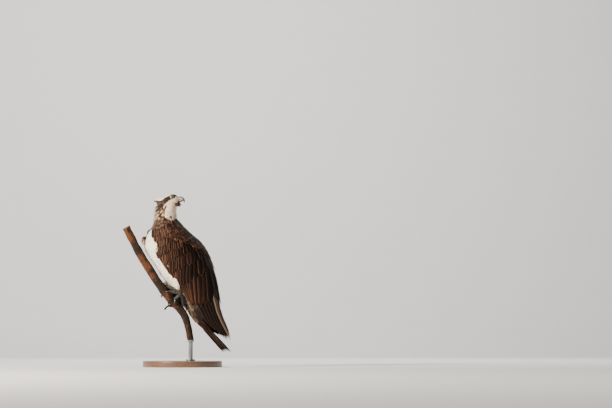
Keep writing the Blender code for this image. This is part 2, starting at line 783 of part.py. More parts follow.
def perch_frame(h):
    """Centre, radius and the directions up the branch, towards its back and towards the bird's left, at H."""
    rows = [(r[0], r[1], r[2]) for r in PERCH_ROUTE]
    d, radius = table_at(rows, h)
    ahead, behind = table_at(rows, h + 4), table_at(rows, h - 4)
    along = bird(h + 4, ahead[0], 0) - bird(h - 4, behind[0], 0)
    along /= np.linalg.norm(along)
    left = LEFTWARDS
    back = np.cross(left, along)
    if back @ BACKWARDS < 0:
        back = -back
    return bird(h, d, 0), radius, along, back, left


def on_perch(side, h, angle, lift):
    """A point over the branch: angle in degrees round it from its back towards the given side."""
    centre, radius, _, back, left = perch_frame(h)
    a = math.radians(angle)
    return centre + (back * math.cos(a) + left * side * math.sin(a)) * (radius + lift)


def make_toe(side, ball_h, ball_angle, claw_angle, claw_h):
    """A toe from the ankle to the branch, and its claw round the branch."""
    ankle = bird(ANKLE[0], ANKLE[1], side * ANKLE[2])
    clear = GAP + 0.3
    rest = on_perch(side, ball_h, ball_angle, TOE_RADIUS + clear)
    knuckle = (ankle + rest) / 2 + (ankle - perch_frame((ball_h + ANKLE[0]) / 2)[0]) * 0.10
    pad_h = ball_h + (ball_h - ANKLE[0]) * 0.18
    pad_angle = ball_angle + (claw_angle - ball_angle) * 0.25
    pad = on_perch(side, pad_h, pad_angle, TOE_TIP_RADIUS + clear)
    line = smooth_line([ankle, knuckle, rest, pad], 6)
    radii = np.interp(np.linspace(0, 3, 6), [0, 1, 2, 3], [7.2, 6.2, TOE_RADIUS, TOE_TIP_RADIUS])
    toe = loft("toe", tube_rings(line, radii, 7), "foot")
    claw_line = [
        on_perch(side, pad_h + (claw_h - pad_h) * t, pad_angle + (claw_angle - pad_angle) * t, lift)
        for t, lift in ((-0.1, 5.0), (0.25, 6.6), (0.5, 6.4), (0.75, 4.6), (1.0, 1.6))
    ]
    claw = loft("claw", tube_rings(smooth_line(claw_line, 5), [2.9, 3.0, 2.4, 1.5, 0.35], 5), "bill")
    return [toe, claw]


def make_foot(name, side):
    ends = [bird(h, d, side * left) for h, d, left, _ in THIGH[-2:]]
    along = (ends[1] - ends[0]) / np.linalg.norm(ends[1] - ends[0])
    top = ends[1] + along * GAP
    ankle = bird(ANKLE[0], ANKLE[1], side * ANKLE[2])
    line = [top, (top + ankle) / 2, ankle, ankle + (ankle - top) * 0.3]
    rings = tube_rings(line, [SHANK_RADIUS, SHANK_RADIUS + 0.6, 8.0, 5.0], 10)
    rings[0] = flat_ring(top, along, SHANK_RADIUS, 10, rings[0][0])
    foot = loft(name, rings, "foot")
    toes = NEAR_TOES if side > 0 else FAR_TOES
    pieces = [p for toe in toes for p in make_toe(side, *toe)]
    return boolean(foot, "UNION", pieces=pieces)


def flat_ring(centre, along, radius, sides, start):
    """A ring square to a direction, its first point towards start."""
    side = start - centre
    side = side - along * (side @ along)
    side /= np.linalg.norm(side)
    other = np.cross(along, side)
    return [
        centre + radius * (side * math.cos(2 * math.pi * k / sides) + other * math.sin(2 * math.pi * k / sides))
        for k in range(sides)
    ]


def make_thigh(name, side):
    rows = smooth_line(THIGH, 8)
    centres = [bird(h, d, side * left) for h, d, left, _ in rows]
    rings = tube_rings(centres, [r[3] for r in rows], 14)
    last = [bird(h, d, side * left) for h, d, left, _ in THIGH[-2:]]
    along = (last[1] - last[0]) / np.linalg.norm(last[1] - last[0])
    rings[-1] = flat_ring(centres[-1], along, THIGH[-1][3], 14, rings[-1][0])
    return loft(name, rings, "white")


def lathe(name, profile, centre, colour, sides=40):
    """A turned solid about +Z: profile rows are radius and height, bottom to top."""
    rings = []
    for radius, z in profile:
        angles = [2 * math.pi * k / sides for k in range(sides)]
        rings.append([np.array([centre[0] + radius * math.cos(a), centre[1] + radius * math.sin(a), z]) for a in angles])
    return loft(name, rings, colour)


def make_base():
    profile = [
        (BASE_RADIUS, 0),
        (BASE_RADIUS, BASE_HEIGHT - BASE_BEVEL),
        (BASE_RADIUS - BASE_BEVEL, BASE_HEIGHT),
    ]
    return lathe("stand_base", profile, (0, 0), "wood")


def make_rod(foot, top_z):
    low = BASE_HEIGHT + GAP
    profile = [
        (COLLAR_RADIUS, low),
        (COLLAR_RADIUS, low + COLLAR_HEIGHT),
        (ROD_RADIUS, low + COLLAR_HEIGHT + 2),
        (ROD_RADIUS, top_z - GAP - COLLAR_HEIGHT),
        (CAP_RADIUS, top_z - GAP - COLLAR_HEIGHT + 2),
        (CAP_RADIUS, top_z - GAP),
    ]
    return lathe("stand_rod", profile, foot, "steel", 20)


def level_cut(obj, z):
    """Cuts a mesh off level at a height and keeps what is above."""
    body = bmesh.new()
    body.from_mesh(obj.data)
    made = bmesh.ops.bisect_plane(
        body,
        geom=list(body.verts) + list(body.edges) + list(body.faces),
        plane_co=(0, 0, z * MM),
        plane_no=(0, 0, -1),
        clear_outer=True,
    )
    edges = [e for e in made["geom_cut"] if isinstance(e, bmesh.types.BMEdge)]
    bmesh.ops.contextual_create(body, geom=edges)
    bmesh.ops.triangulate(body, faces=body.faces)
    bmesh.ops.recalc_face_normals(body, faces=body.faces)
    body.to_mesh(obj.data)
    body.free()
    return obj


def main():
    for obj in list(bpy.data.objects):
        bpy.data.objects.remove(obj)

    perch = level_cut(make_perch(), PERCH_CUT_Z)
    bottom = [v.co / MM for v in perch.data.vertices if abs(v.co.z / MM - PERCH_CUT_Z) < 0.01]
    foot_xy = (sum(p.x for p in bottom) / len(bottom), sum(p.y for p in bottom) / len(bottom))
    make_base()
    make_rod(foot_xy, PERCH_CUT_Z)

    feet = {side: make_foot(name, side) for name, side in (("foot_left", 1), ("foot_right", -1))}
    for foot in feet.values():
        cut_clear(foot, perch)
    torso = make_torso()
    for other in (perch, *feet.values()):
        cut_clear(torso, other)

    head = make_head()
    for eye in (make_eye("eye_left", 1), make_eye("eye_right", -1)):
        cut_clear(head, eye)
    neck = make_neck()
    cut_clear(neck, head)
    upper = make_upper_bill()
    cut_clear(make_lower_bill(), upper)

    tail = make_tail()
    for name, side in (("left", 1), ("right", -1)):
        thigh = make_thigh("thigh_" + name, side)
        for other in (torso, perch, feet[side]):
            cut_clear(thigh, other)
        wing = make_wing("wing_" + name, side)
        for other in (torso, neck, thigh, tail):
            cut_clear(wing, other)


main()
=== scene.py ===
"""Looks of a life-size osprey that grips a cut branch on a plain display stand.

Lengths are in millimetres and become metres where a mesh is made. The camera side is -Y, and +Z is up.
Bird frame: H runs headwards along the body, D towards the back, L towards the bird's left.
"""

import math
from itertools import chain

import bpy
import numpy as np
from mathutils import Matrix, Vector, noise


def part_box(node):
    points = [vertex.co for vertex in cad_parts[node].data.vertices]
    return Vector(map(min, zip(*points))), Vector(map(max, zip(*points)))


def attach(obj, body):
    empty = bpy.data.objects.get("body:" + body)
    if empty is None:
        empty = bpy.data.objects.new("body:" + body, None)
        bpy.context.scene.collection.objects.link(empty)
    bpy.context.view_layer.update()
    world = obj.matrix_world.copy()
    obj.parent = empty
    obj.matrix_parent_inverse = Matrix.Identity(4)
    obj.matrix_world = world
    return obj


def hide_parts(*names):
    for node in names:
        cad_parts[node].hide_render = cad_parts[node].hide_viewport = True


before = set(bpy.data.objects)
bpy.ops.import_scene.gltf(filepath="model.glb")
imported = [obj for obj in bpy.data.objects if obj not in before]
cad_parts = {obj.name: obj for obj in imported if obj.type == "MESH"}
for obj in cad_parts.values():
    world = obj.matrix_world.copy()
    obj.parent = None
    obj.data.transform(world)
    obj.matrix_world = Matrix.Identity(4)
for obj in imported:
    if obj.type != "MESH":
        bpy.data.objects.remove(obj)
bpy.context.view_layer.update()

MM = 0.001
SEED = 11
SIDES = (("left", 1), ("right", -1))  # the camera sees the left side

# The same named sizes as the part's source
BODY_SLOPE = math.radians(63)
BODY_TURN = math.radians(20)
BODY_MIDDLE = np.array([-16.5, 0.0, 345.0])
FORWARD = np.array([-math.cos(BODY_TURN), -math.sin(BODY_TURN), 0.0])
UP = np.array([0.0, 0.0, 1.0])
HEADWARDS = FORWARD * math.cos(BODY_SLOPE) + UP * math.sin(BODY_SLOPE)
BACKWARDS = -FORWARD * math.sin(BODY_SLOPE) + UP * math.cos(BODY_SLOPE)
LEFTWARDS = np.array([math.sin(BODY_TURN), -math.cos(BODY_TURN), 0.0])
TORSO = [
    (-150, -10, 0, 29, 33),
    (-120, -3, 0, 42, 42),
    (-90, 1.5, 0, 54, 51),
    (-55, 4, 0, 64, 58),
    (-18, 1.5, 0, 72, 63),
    (20, -2, 0, 74, 65),
    (60, -9.5, 2, 73, 65),
    (85, -12.5, 6, 68.5, 61),
    (105, -6, 11, 59, 54),
    (124, 8, 20, 46, 46),
    (138, 23, 27, 38.5, 40),
]
WING = [
    (-318, 36, 9, 16),
    (-296, 34, 20, 21),
    (-260, 26.5, 33.5, 28),
    (-224, 20, 42, 35),
    (-172, 20, 54, 45),
    (-108, 23, 70, 61),
    (-60, 17.5, 83.5, 73),
    (0, 14, 87, 84),
    (30, 9, 84.5, 87),
    (60, 2, 77, 87),
    (85, 0.5, 68, 82),
    (110, -1, 61, 72),
    (140, 2, 54, 56),
]
WING_CORE_H = (134, 128, 114, 90, 60, 25, -15, -60, -108, -158, -206)
WRIST, WRIST_RADII = (99, -55, 47), (27, 15, 13)
WING_LOW, WING_HIGH = -60.0, 86.0
FAR_FRONT = -50.0  # where the far wing's front edge lies, in degrees
NECK = [
    (0, -55.5, -14.4, 38.5, 39.5),
    (14, -54.5, -15, 35.5, 35.5),
    (32, -54, -15, 33, 31.5),
    (52, -51.5, -14.5, 31, 28.5),
    (72, -50.5, -14, 23.5, 21),
]
HEAD_MIDDLE = np.array([-51.0, -14.0, 546.0])
HEAD_TURN, HEAD_TILT = math.radians(14), math.radians(6)
HEAD = [
    (-40, 1, 6, 6, 7),
    (-36, 1, 8, 12, 13),
    (-28, 2, 8.5, 21, 19.5),
    (-16, 2.5, 9.5, 27, 23.5),
    (-2, 2, 15, 29, 24.5),
    (10, 2, 18.7, 27, 23.8),
    (20, 1.5, 19.3, 25, 21),
    (28, 1, 17.5, 22.5, 15.5),
    (33, 0.5, 14.5, 18.5, 11),
    (36, 0, 10.5, 13.2, 8.2),
]
EYE_CENTRE = (17.0, 12.6, 8.5)
EYE_RADIUS = 9.2
EYE_WIDE, EYE_TALL = 7.3, 6.1  # half sizes of the eye's opening
EYE_FORWARD, EYE_UP = math.radians(24), math.radians(4)
UPPER_BILL = [
    (34.0, 3.2, 6.8, 8.0),
    (36.3, 3.2, 6.3, 7.2),
    (41, 3.6, 6.2, 6.8),
    (46, 3.2, 5.6, 5.9),
    (50, 1.2, 4.8, 4.8),
    (53.2, -2.2, 3.8, 3.7),
    (55, -6.2, 2.7, 2.7),
    (55.6, -10.2, 1.6, 1.7),
    (55.0, -14.2, 0.4, 0.5),
]
LOWER_BILL = [
    (34.0, -3.4, -9.6, 6.8),
    (36.3, -3.4, -9.4, 6.4),
    (42, -3.2, -9.2, 5.6),
    (47, -3.2, -8.6, 4.3),
    (50.5, -3.7, -7.4, 2.6),
    (52.2, -4.3, -6.2, 1.2),
]
NOSTRIL_CENTRE = (40.6, 6.0, 5.6)
TAIL_CORE = [
    (-140, -8, 0, 32, 36),
    (-150, -10, 0, 29, 33),
    (-172, -13, 0, 26, 29),
    (-198, -15, 0, 19, 23),
    (-222, -13, 0, 12, 16),
    (-238, -11, 0, 6.5, 12),
    (-247, -9, 0, 2, 7),
]
TAIL_MIDDLE_D = [(-360, 35.5), (-300, 16), (-250, -1.5), (-200, -12), (-150, -14)]
PERCH_ROUTE = [
    (-276, -84, 11.5),
    (-232, -71, 11.5),
    (-185, -60, 11.8),
    (-160, -60, 12.5),
    (-130, -67, 13.5),
    (-95, -79, 14.5),
    (-60, -87.5, 14.5),
    (-30, -92.5, 14.2),
    (5, -98, 13.5),
    (69, -106.5, 11.5),
    (97, -108.5, 11.2),
    (180, -112, 11),
]
PERCH_CUT_Z = 88.0
BARK_NEARER, BARK_EXTRA = 1.0, 2.0
STUB_ROUTE = [(-127, -69, -2), (-121, -82, -4), (-115, -95, -7), (-120, -110, -9)]
STUB_RADII = [6.5, 5.5, 4.6, 3.2]
THIGH = [(-8, -28, 28, 18), (-36, -38, 34, 21), (-60, -43, 32, 18), (-76, -45, 28, 12.5), (-84, -46, 26, 9.5)]
SHANK_RADIUS = 6.2
ANKLE = (-94, -48, 23)
TOE_RADIUS, TOE_TIP_RADIUS = 5.4, 4.4
NEAR_TOES = [(-60, 26, 40, -36), (-76, 56, 100, -64), (-104, 68, 116, -114), (-134, 32, 52, -160)]
FAR_TOES = [(-60, 26, 40, -36), (-76, 84, 158, -78), (-102, 92, 150, -112), (-134, 32, 52, -160)]
BASE_RADIUS, BASE_HEIGHT = 130.0, 20.0
ROD_RADIUS, COLLAR_RADIUS, COLLAR_HEIGHT, CAP_RADIUS = 7.0, 15.0, 5.0, 10.5

# Plumage colours, linear
WHITE = (0.88, 0.84, 0.76)
CREAM = (0.84, 0.59, 0.36)
TAN = (0.37, 0.185, 0.095)
BUFF = (0.52, 0.35, 0.22)
WARM_BROWN = (0.040, 0.0135, 0.0075)
DARK_BROWN = (0.0095, 0.0042, 0.0034)
BLACK_BROWN = (0.0035, 0.0024, 0.0024)
GREY_TAN = (0.27, 0.20, 0.14)

PUPIL_BLACK = (0.004, 0.004, 0.005)
HORN_BLACK = (0.010, 0.010, 0.011)

# The camera, fitted to the photo
CAMERA_PLACE = (0.0, -6.0, 0.08)
CAMERA_PITCH, CAMERA_YAW = math.radians(4.364), math.radians(3.876)
CAMERA_LENS, CAMERA_SENSOR = 106.83, 36.0


def unit(v):
    """Vectors of length 1."""
    v = np.asarray(v, float)
    return v / np.maximum(np.linalg.norm(v, axis=-1, keepdims=True), 1e-9)


def ramp(value, start, end):
    """0 before start and 1 after end, smoothly in between. start may be the larger one."""
    t = np.clip((np.asarray(value, float) - start) / (end - start), 0, 1)
    return t * t * (3 - 2 * t)


def bell(value, middle, width):
    """1 in the middle and smoothly down to 0 on both sides."""
    return np.exp(-(((value - middle) / width) ** 2))


def mix(a, b, share):
    """Colours between a and b, with a share of b."""
    share = np.asarray(share, float)[..., None]
    return np.asarray(a, float) * (1 - share) + np.asarray(b, float) * share


def bird(h, d, left):
    """Points of the bird frame in world millimetres."""
    h, d, left = np.broadcast_arrays(np.asarray(h, float), d, left)
    return BODY_MIDDLE + h[..., None] * HEADWARDS + d[..., None] * BACKWARDS + left[..., None] * LEFTWARDS


def bird_place(points):
    """H, D and L of world points."""
    away = points - BODY_MIDDLE
    return away @ HEADWARDS, away @ BACKWARDS, away @ LEFTWARDS


HEAD_LEVEL = np.array([math.cos(HEAD_TURN), -math.sin(HEAD_TURN), 0.0])
HEAD_FORWARD = HEAD_LEVEL * math.cos(HEAD_TILT) + UP * math.sin(HEAD_TILT)
HEAD_LEFT = np.array([math.sin(HEAD_TURN), math.cos(HEAD_TURN), 0.0])
HEAD_UP = np.cross(HEAD_FORWARD, HEAD_LEFT)


def head_point(forward, left, up):
    """Points of the head's own frame in world millimetres."""
    forward, left, up = np.broadcast_arrays(np.asarray(forward, float), left, up)
    away = forward[..., None] * HEAD_FORWARD + left[..., None] * HEAD_LEFT + up[..., None] * HEAD_UP
    return HEAD_MIDDLE + away


def head_place(points):
    """Forward, left and up in the head's frame of world points."""
    away = points - HEAD_MIDDLE
    return away @ HEAD_FORWARD, away @ HEAD_LEFT, away @ HEAD_UP


def table_at(table, key):
    """Rows of a table, smoothly in between its own rows, without the first column."""
    rows = np.array(sorted(table), float)
    keys, values = rows[:, 0], rows[:, 1:]
    slopes = np.gradient(values, keys, axis=0)
    key = np.clip(np.asarray(key, float), keys[0], keys[-1])
    i = np.clip(np.searchsorted(keys, key, side="right") - 1, 0, len(keys) - 2)
    span = (keys[i + 1] - keys[i])[..., None]
    t = (key[..., None] - keys[i][..., None]) / span
    return (
        values[i] * (2 * t**3 - 3 * t**2 + 1)
        + values[i + 1] * (3 * t**2 - 2 * t**3)
        + slopes[i] * span * (t**3 - 2 * t**2 + t)
        + slopes[i + 1] * span * (t**3 - t**2)
    )


def smooth_line(points, count):
    """count points along a smooth curve through rows of numbers."""
    rows = [(i, *p) for i, p in enumerate(points)]
    return table_at(rows, np.linspace(0, len(points) - 1, count))


def length_along(line):
    """How far each point of a line lies along it."""
    return np.concatenate([[0], np.cumsum(np.linalg.norm(np.diff(line, axis=0), axis=1))])


def thigh_line(side, count):
    """Centres and radii along a thigh."""
    rows = smooth_line(THIGH, count)
    return bird(rows[:, 0], rows[:, 1], side * rows[:, 2]), rows[:, 3]


def circle(sides):
    """Angles evenly spaced round a full turn."""
    return np.linspace(0, 2 * math.pi, sides, endpoint=False)


def deep(values):
    """Values for the rows of an array of three dimensions."""
    return np.asarray(values, float)[:, None, None]


def flattened(directions, normals):
    """Directions made square to the normals."""
    return unit(directions - normals * np.sum(directions * normals, axis=1, keepdims=True))


FAR_BEND = bird(WRIST[0], WRIST[1], -WRIST[2])
NECK_FOOT = float(bird(TORSO[-1][0], TORSO[-1][1], 0)[2]) + 0.3


# Meshes


def make_mesh(name, points, faces, material=None, attributes=None, uv=None, sharp=60):
    """An object from points in millimetres and an array of triangles, with its attributes and one UV map."""
    mesh = bpy.data.meshes.new(name)
    mesh.vertices.add(len(points))
    mesh.vertices.foreach_set("co", (np.asarray(points) * MM).astype(np.float32).ravel())
    faces = np.asarray(faces, np.int32)
    mesh.loops.add(faces.size)
    mesh.loops.foreach_set("vertex_index", faces.ravel())
    mesh.polygons.add(len(faces))
    mesh.polygons.foreach_set("loop_start", np.arange(0, faces.size, 3, dtype=np.int32))
    mesh.update(calc_edges=True)
    mesh.validate()
    mesh.shade_smooth()
    if sharp:
        mesh.set_sharp_from_angle(angle=math.radians(sharp))
    for key, values in (attributes or {}).items():
        put_attribute(mesh, key, values)
    if uv is not None:
        layer = mesh.uv_layers.new(name="OFBake")
        index = np.zeros(len(mesh.loops), np.int32)
        mesh.loops.foreach_get("vertex_index", index)
        layer.data.foreach_set("uv", np.asarray(uv, np.float32)[index].ravel())
    if material:
        mesh.materials.append(material)
    obj = bpy.data.objects.new(name, mesh)
    bpy.context.scene.collection.objects.link(obj)
    return obj


def put_attribute(mesh, key, values):
    """A vertex attribute: a number, the colour called paint, or a vector at each point."""
    values = np.asarray(values, np.float32)
    kind, field = ("FLOAT", "value") if values.ndim == 1 else ("FLOAT_VECTOR", "vector")
    if key == "paint":
        kind, field = "FLOAT_COLOR", "color"
        values = np.concatenate([values, np.ones((len(values), 1), np.float32)], axis=1)
    mesh.attributes.new(key, kind, "POINT").data.foreach_set(field, values.ravel())


def quads(a, b, c, d):
    """Two triangles for each quad."""
    return np.concatenate([np.stack([a, b, c], -1).reshape(-1, 3), np.stack([a, c, d], -1).reshape(-1, 3)])


def tube(rings, first=0):
    """Points and triangles of a closed tube through rings, with its ends fanned to their middles."""
    count, sides = rings.shape[:2]
    points = np.concatenate([rings.reshape(-1, 3), rings[:1].mean(1), rings[-1:].mean(1)])
    at = np.arange(count * sides).reshape(count, sides)
    following = np.roll(at, -1, axis=1)
    faces = quads(at[:-1], following[:-1], following[1:], at[1:])
    low, high = count * sides, count * sides + 1
    start = np.stack([following[0], at[0], np.full(sides, low)], -1)
    end = np.stack([at[-1], following[-1], np.full(sides, high)], -1)
    return points, np.concatenate([faces, start, end]) + first


def on_tube(values, sides, first, last):
    """Values for a tube's points from those of its rings and of its two ends."""
    return np.concatenate([np.repeat(values, sides), [first, last]])


def join(parts):
    """One list of points and of triangles from several."""
    points, faces, base = [], [], 0
    for p, f in parts:
        points.append(p)
        faces.append(f + base)
        base += len(p)
    return np.concatenate(points), np.concatenate(faces)


def tube_frames(centres, start=None):
    """Directions along a line and two square to it, without twist."""
    centres = np.asarray(centres, float)
    along = unit(np.gradient(centres, axis=0))
    if start is None:
        start = np.cross(along[0], UP if abs(along[0][2]) < 0.9 else FORWARD)
    side = start
    sides = []
    for a in along:
        side = side - a * (side @ a)
        side = side / np.linalg.norm(side)
        sides.append(side)
    sides = np.array(sides)
    return along, sides, np.cross(along, sides)


def round_section(centres, radii, side, other, sides):
    """Rings of a round section about centres, each in the plane of its two directions."""
    a = circle(sides)
    turned = side[..., None, :] * np.cos(a)[:, None] + other[..., None, :] * np.sin(a)[:, None]
    return np.asarray(centres)[..., None, :] + deep(radii) * turned


def round_rings(centres, radii, sides, start=None):
    """Rings of a round tube along a line."""
    _, side, other = tube_frames(centres, start)
    return round_section(centres, radii, side, other, sides)


def noise_at(points, scale, seed=0):
    """Smooth noise at points in millimetres. scale is the size of its lumps in millimetres."""
    shift = Vector((seed * 7.3, seed * 3.1, seed * 5.7))
    return np.array([noise.noise(Vector(p) / scale + shift) for p in np.asarray(points).reshape(-1, 3)])


# Materials


class Nodes:
    """Short helpers for one node tree."""

    def __init__(self, name):
        self.material = bpy.data.materials.new(name)
        self.material.use_nodes = True
        self.tree = self.material.node_tree
        self.shader = self.tree.nodes["Principled BSDF"]

    def set(self, socket, value):
        """Gives an input of the surface shader a value."""
        self.shader.inputs[socket].default_value = value

    def put(self, kind, inputs=(), **settings):
        """A new node with its settings, and its inputs linked or given values."""
        node = self.tree.nodes.new(kind)
        for key, value in settings.items():
            setattr(node, key, value)
        for key, value in dict(inputs).items():
            if isinstance(value, bpy.types.NodeSocket):
                self.tree.links.new(value, node.inputs[key])
            else:
                node.inputs[key].default_value = value
        return node

    def attribute(self, name, output="Fac"):
        """A vertex attribute."""
        return self.put("ShaderNodeAttribute", attribute_name=name).outputs[output]

    def position(self):
        """The point's place in the object."""
        return self.put("ShaderNodeTexCoord").outputs["Object"]

    def stretched(self, scale):
        """The point's place, scaled along each axis."""
        return self.put("ShaderNodeMapping", {"Vector": self.position(), "Scale": scale}).outputs[0]

    def noise(self, scale, detail=3.0, vector=None, rough=0.55):
        """A noise texture, about 0.5."""
        given = {"Scale": scale, "Detail": detail, "Roughness": rough, "Vector": vector or self.position()}
        return self.put("ShaderNodeTexNoise", given).outputs["Fac"]

    def math(self, kind, a, b=0.0, c=0.0):
        """A sum of one kind."""
        return self.put("ShaderNodeMath", {0: a, 1: b, 2: c}, operation=kind).outputs[0]

    def line(self, value, by, plus):
        """A value times by, plus plus."""
        return self.math("MULTIPLY_ADD", value, by, plus)

    def vary(self, value, texture, amount):
        """A value that a texture shifts both ways."""
        return self.line(self.math("SUBTRACT", texture, 0.5), amount, value)

    def span(self, value, low, high, to_low=0.0, to_high=1.0):
        """A value moved smoothly from one range to another."""
        given = {"Value": value, "From Min": low, "From Max": high, "To Min": to_low, "To Max": to_high}
        return self.put("ShaderNodeMapRange", given, interpolation_type="SMOOTHSTEP").outputs[0]

    def blend(self, share, a, b, kind="MIX"):
        """Two colours mixed, with a share of the second."""
        node = self.put("ShaderNodeMix", data_type="RGBA", blend_type=kind)
        for index, value in ((0, share), (6, a), (7, b)):
            if isinstance(value, bpy.types.NodeSocket):
                self.tree.links.new(value, node.inputs[index])
            elif index:
                node.inputs[index].default_value = (*value, 1.0) if len(value) == 3 else value
            else:
                node.inputs[index].default_value = value
        return node.outputs[2]

    def shaded_paint(self, value):
        """The painted colour times a grey value."""
        grey = self.put("ShaderNodeCombineColor", {0: value, 1: value, 2: value}).outputs[0]
        return self.blend(1.0, self.attribute("paint", "Color"), grey, "MULTIPLY")

    def bump(self, height, strength, millimetres):
        """A normal from a height."""
        given = {"Height": height, "Strength": strength, "Distance": millimetres * MM}
        return self.put("ShaderNodeBump", given).outputs[0]

    def finish(self, colour, rough=None, normal=None):
        """Links what the surface shader shows, and gives the material."""
        for key, value in (("Base Color", colour), ("Roughness", rough), ("Normal", normal)):
            if value is not None:
                self.tree.links.new(value, self.shader.inputs[key])
        return self.material


def plumage(name, barb_pitch, barb_depth, sheen, tones=(0.80, 0.34), middle=0.0):
    """Feathers: painted colour, a tone for each, darker middles, pale rims, fine barbs and a soft surface."""
    n = Nodes(name)
    n.set("Sheen Weight", sheen)
    n.set("Sheen Roughness", 0.5)
    n.set("Specular IOR Level", 0.12)
    vane = n.put("ShaderNodeSeparateXYZ", {0: n.attribute("vane", "Vector")})
    share, edge, tone = vane.outputs[0], vane.outputs[1], vane.outputs[2]
    streak = n.noise(900.0, 2.0)
    blotch = n.noise(120.0)
    value = n.line(tone, tones[1], tones[0])
    colour = n.shaded_paint(n.vary(n.vary(value, streak, 0.45), blotch, 0.30))
    aside = n.math("ABSOLUTE", edge)
    if middle:
        dark = n.span(n.vary(aside, blotch, 0.5), 0.20, 0.62)
        shaded = n.put("ShaderNodeHueSaturation", {"Value": 1.0 - middle, "Color": colour}).outputs[0]
        colour = n.blend(dark, shaded, colour)
    side = n.span(n.vary(aside, streak, 0.30), 0.84, 0.97)
    tip = n.span(n.vary(share, streak, 0.06), 0.93, 0.985)
    rim = n.math("MULTIPLY", n.math("MAXIMUM", side, tip), n.attribute("rim"))
    colour = n.blend(rim, colour, TAN)
    barb = n.math("SINE", n.math("MULTIPLY", n.attribute("barb"), 2 * math.pi / barb_pitch))
    height = n.line(streak, 1.2, barb)
    rough = n.line(blotch, 0.2, 0.55)
    return n.finish(colour, rough, n.bump(height, 0.5, barb_depth))


def skin_material():
    """The ground between the feathers, in their own colours."""
    n = Nodes("skin")
    n.set("Specular IOR Level", 0.3)
    fine = n.noise(700.0, 4.0)
    colour = n.shaded_paint(n.line(fine, 0.5, 0.7))
    return n.finish(colour, n.line(fine, 0.2, 0.6), n.bump(fine, 0.5, 0.4))


# The skin: one surface under all the feathers


def body_rings(table, heights, sides, inset):
    """Leaning oval rings of a table along the body."""
    row = table_at(table, heights)
    a = circle(sides)
    lean = np.radians(row[:, 1:2])
    across = (row[:, 2:3] - inset) * np.sin(a)
    return bird(
        heights[:, None] - across * np.sin(lean),
        row[:, 0:1] + across * np.cos(lean),
        (row[:, 3:4] - inset) * np.cos(a),
    )


def neck_rings(heights, sides, inset):
    """Level oval rings of the neck."""
    angles = np.degrees(circle(sides)) - 180
    return neck_surface(heights[:, None], angles, -inset)


def head_surface(x, angle, lift):
    """Points over the head: angle in degrees from its top towards its left."""
    x, angle = np.broadcast_arrays(np.asarray(x, float), np.asarray(angle, float))
    row = table_at(HEAD, x)
    a = np.radians(90 - angle)
    c, s = np.cos(a), np.sin(a)
    turn = np.degrees(a) % 360
    brow = 1.6 * bell(x, 15, 11) * (bell(turn, 52, 14) + bell(turn, 128, 14))
    reach = np.where(s > 0, row[..., 1], row[..., 2])
    wide = row[..., 3] + np.where(s > 0, brow, 0)
    return head_point(x, (wide + lift) * c, row[..., 0] + (reach + lift) * s)


def wing_point(side, h, angle, lift):
    """Points on a folded wing: angle in degrees round the body from its side towards the back."""
    row = table_at(WING, h)
    a = np.radians(angle)
    return bird(h, row[..., 0] + (row[..., 1] + lift) * np.sin(a), side * (row[..., 2] + lift) * np.cos(a))


def wing_bed(side):
    """The flesh of a folded wing, under its feathers."""
    count, first, last = 16, WING_CORE_H[0], WING_CORE_H[-1]
    rings = []
    for h in np.linspace(first - 2, last, 40):
        thick = 5 + 16 * min(1.0, (h - last) / (first - last) * 2.5)
        pinch = 1 - 0.28 * float(ramp(h, 118, 134))
        low, high = WING_LOW * pinch + 4, WING_HIGH - 30 * (1 - pinch)
        if h < -120:
            high = WING_HIGH - (-120 - h) * 0.42
        angles = np.linspace(low, high, count)
        outer = wing_point(side, np.full(count, h), angles, -4.0)
        inner = wing_point(side, np.full(count, h), angles[::-1], -4.0 - thick)
        rings.append(np.concatenate([outer, inner]))
    return tube(np.array(rings))


def ellipsoid(centre, axes, radii, rings=12, sides=20):
    """A closed ellipsoid along three directions."""
    polar = np.linspace(0.12, math.pi - 0.12, rings)
    centres = centre + axes[2] * (radii[2] * np.cos(polar)[:, None])
    return tube(round_section(centres, np.sin(polar), axes[0] * radii[0], axes[1] * radii[1], sides))


def skin_parts():
    """The closed forms that the skin melts together."""
    parts = [
        tube(body_rings(TORSO, np.linspace(-150, 138, 60), 48, 2.6)),
        tube(body_rings(TAIL_CORE, np.linspace(-140, -246, 24), 32, 1.5)),
        tube(neck_rings(np.linspace(-14, 72, 24), 40, 1.8)),
    ]
    x = np.linspace(-38, 35.5, 50)
    angles = np.linspace(0, 360, 56, endpoint=False)
    parts.append(tube(head_surface(x[:, None], angles[None, :], -1.0)))
    for side in (1, -1):
        parts.append(wing_bed(side))
        centres, radii = thigh_line(side, 14)
        parts.append(tube(round_rings(centres, radii - 1.6, 24)))
    parts.append(ellipsoid(FAR_BEND, (HEADWARDS, BACKWARDS, LEFTWARDS), [r - 2 for r in WRIST_RADII]))
    return parts


SKIN_VOXEL = 1.9  # the skin's own fineness


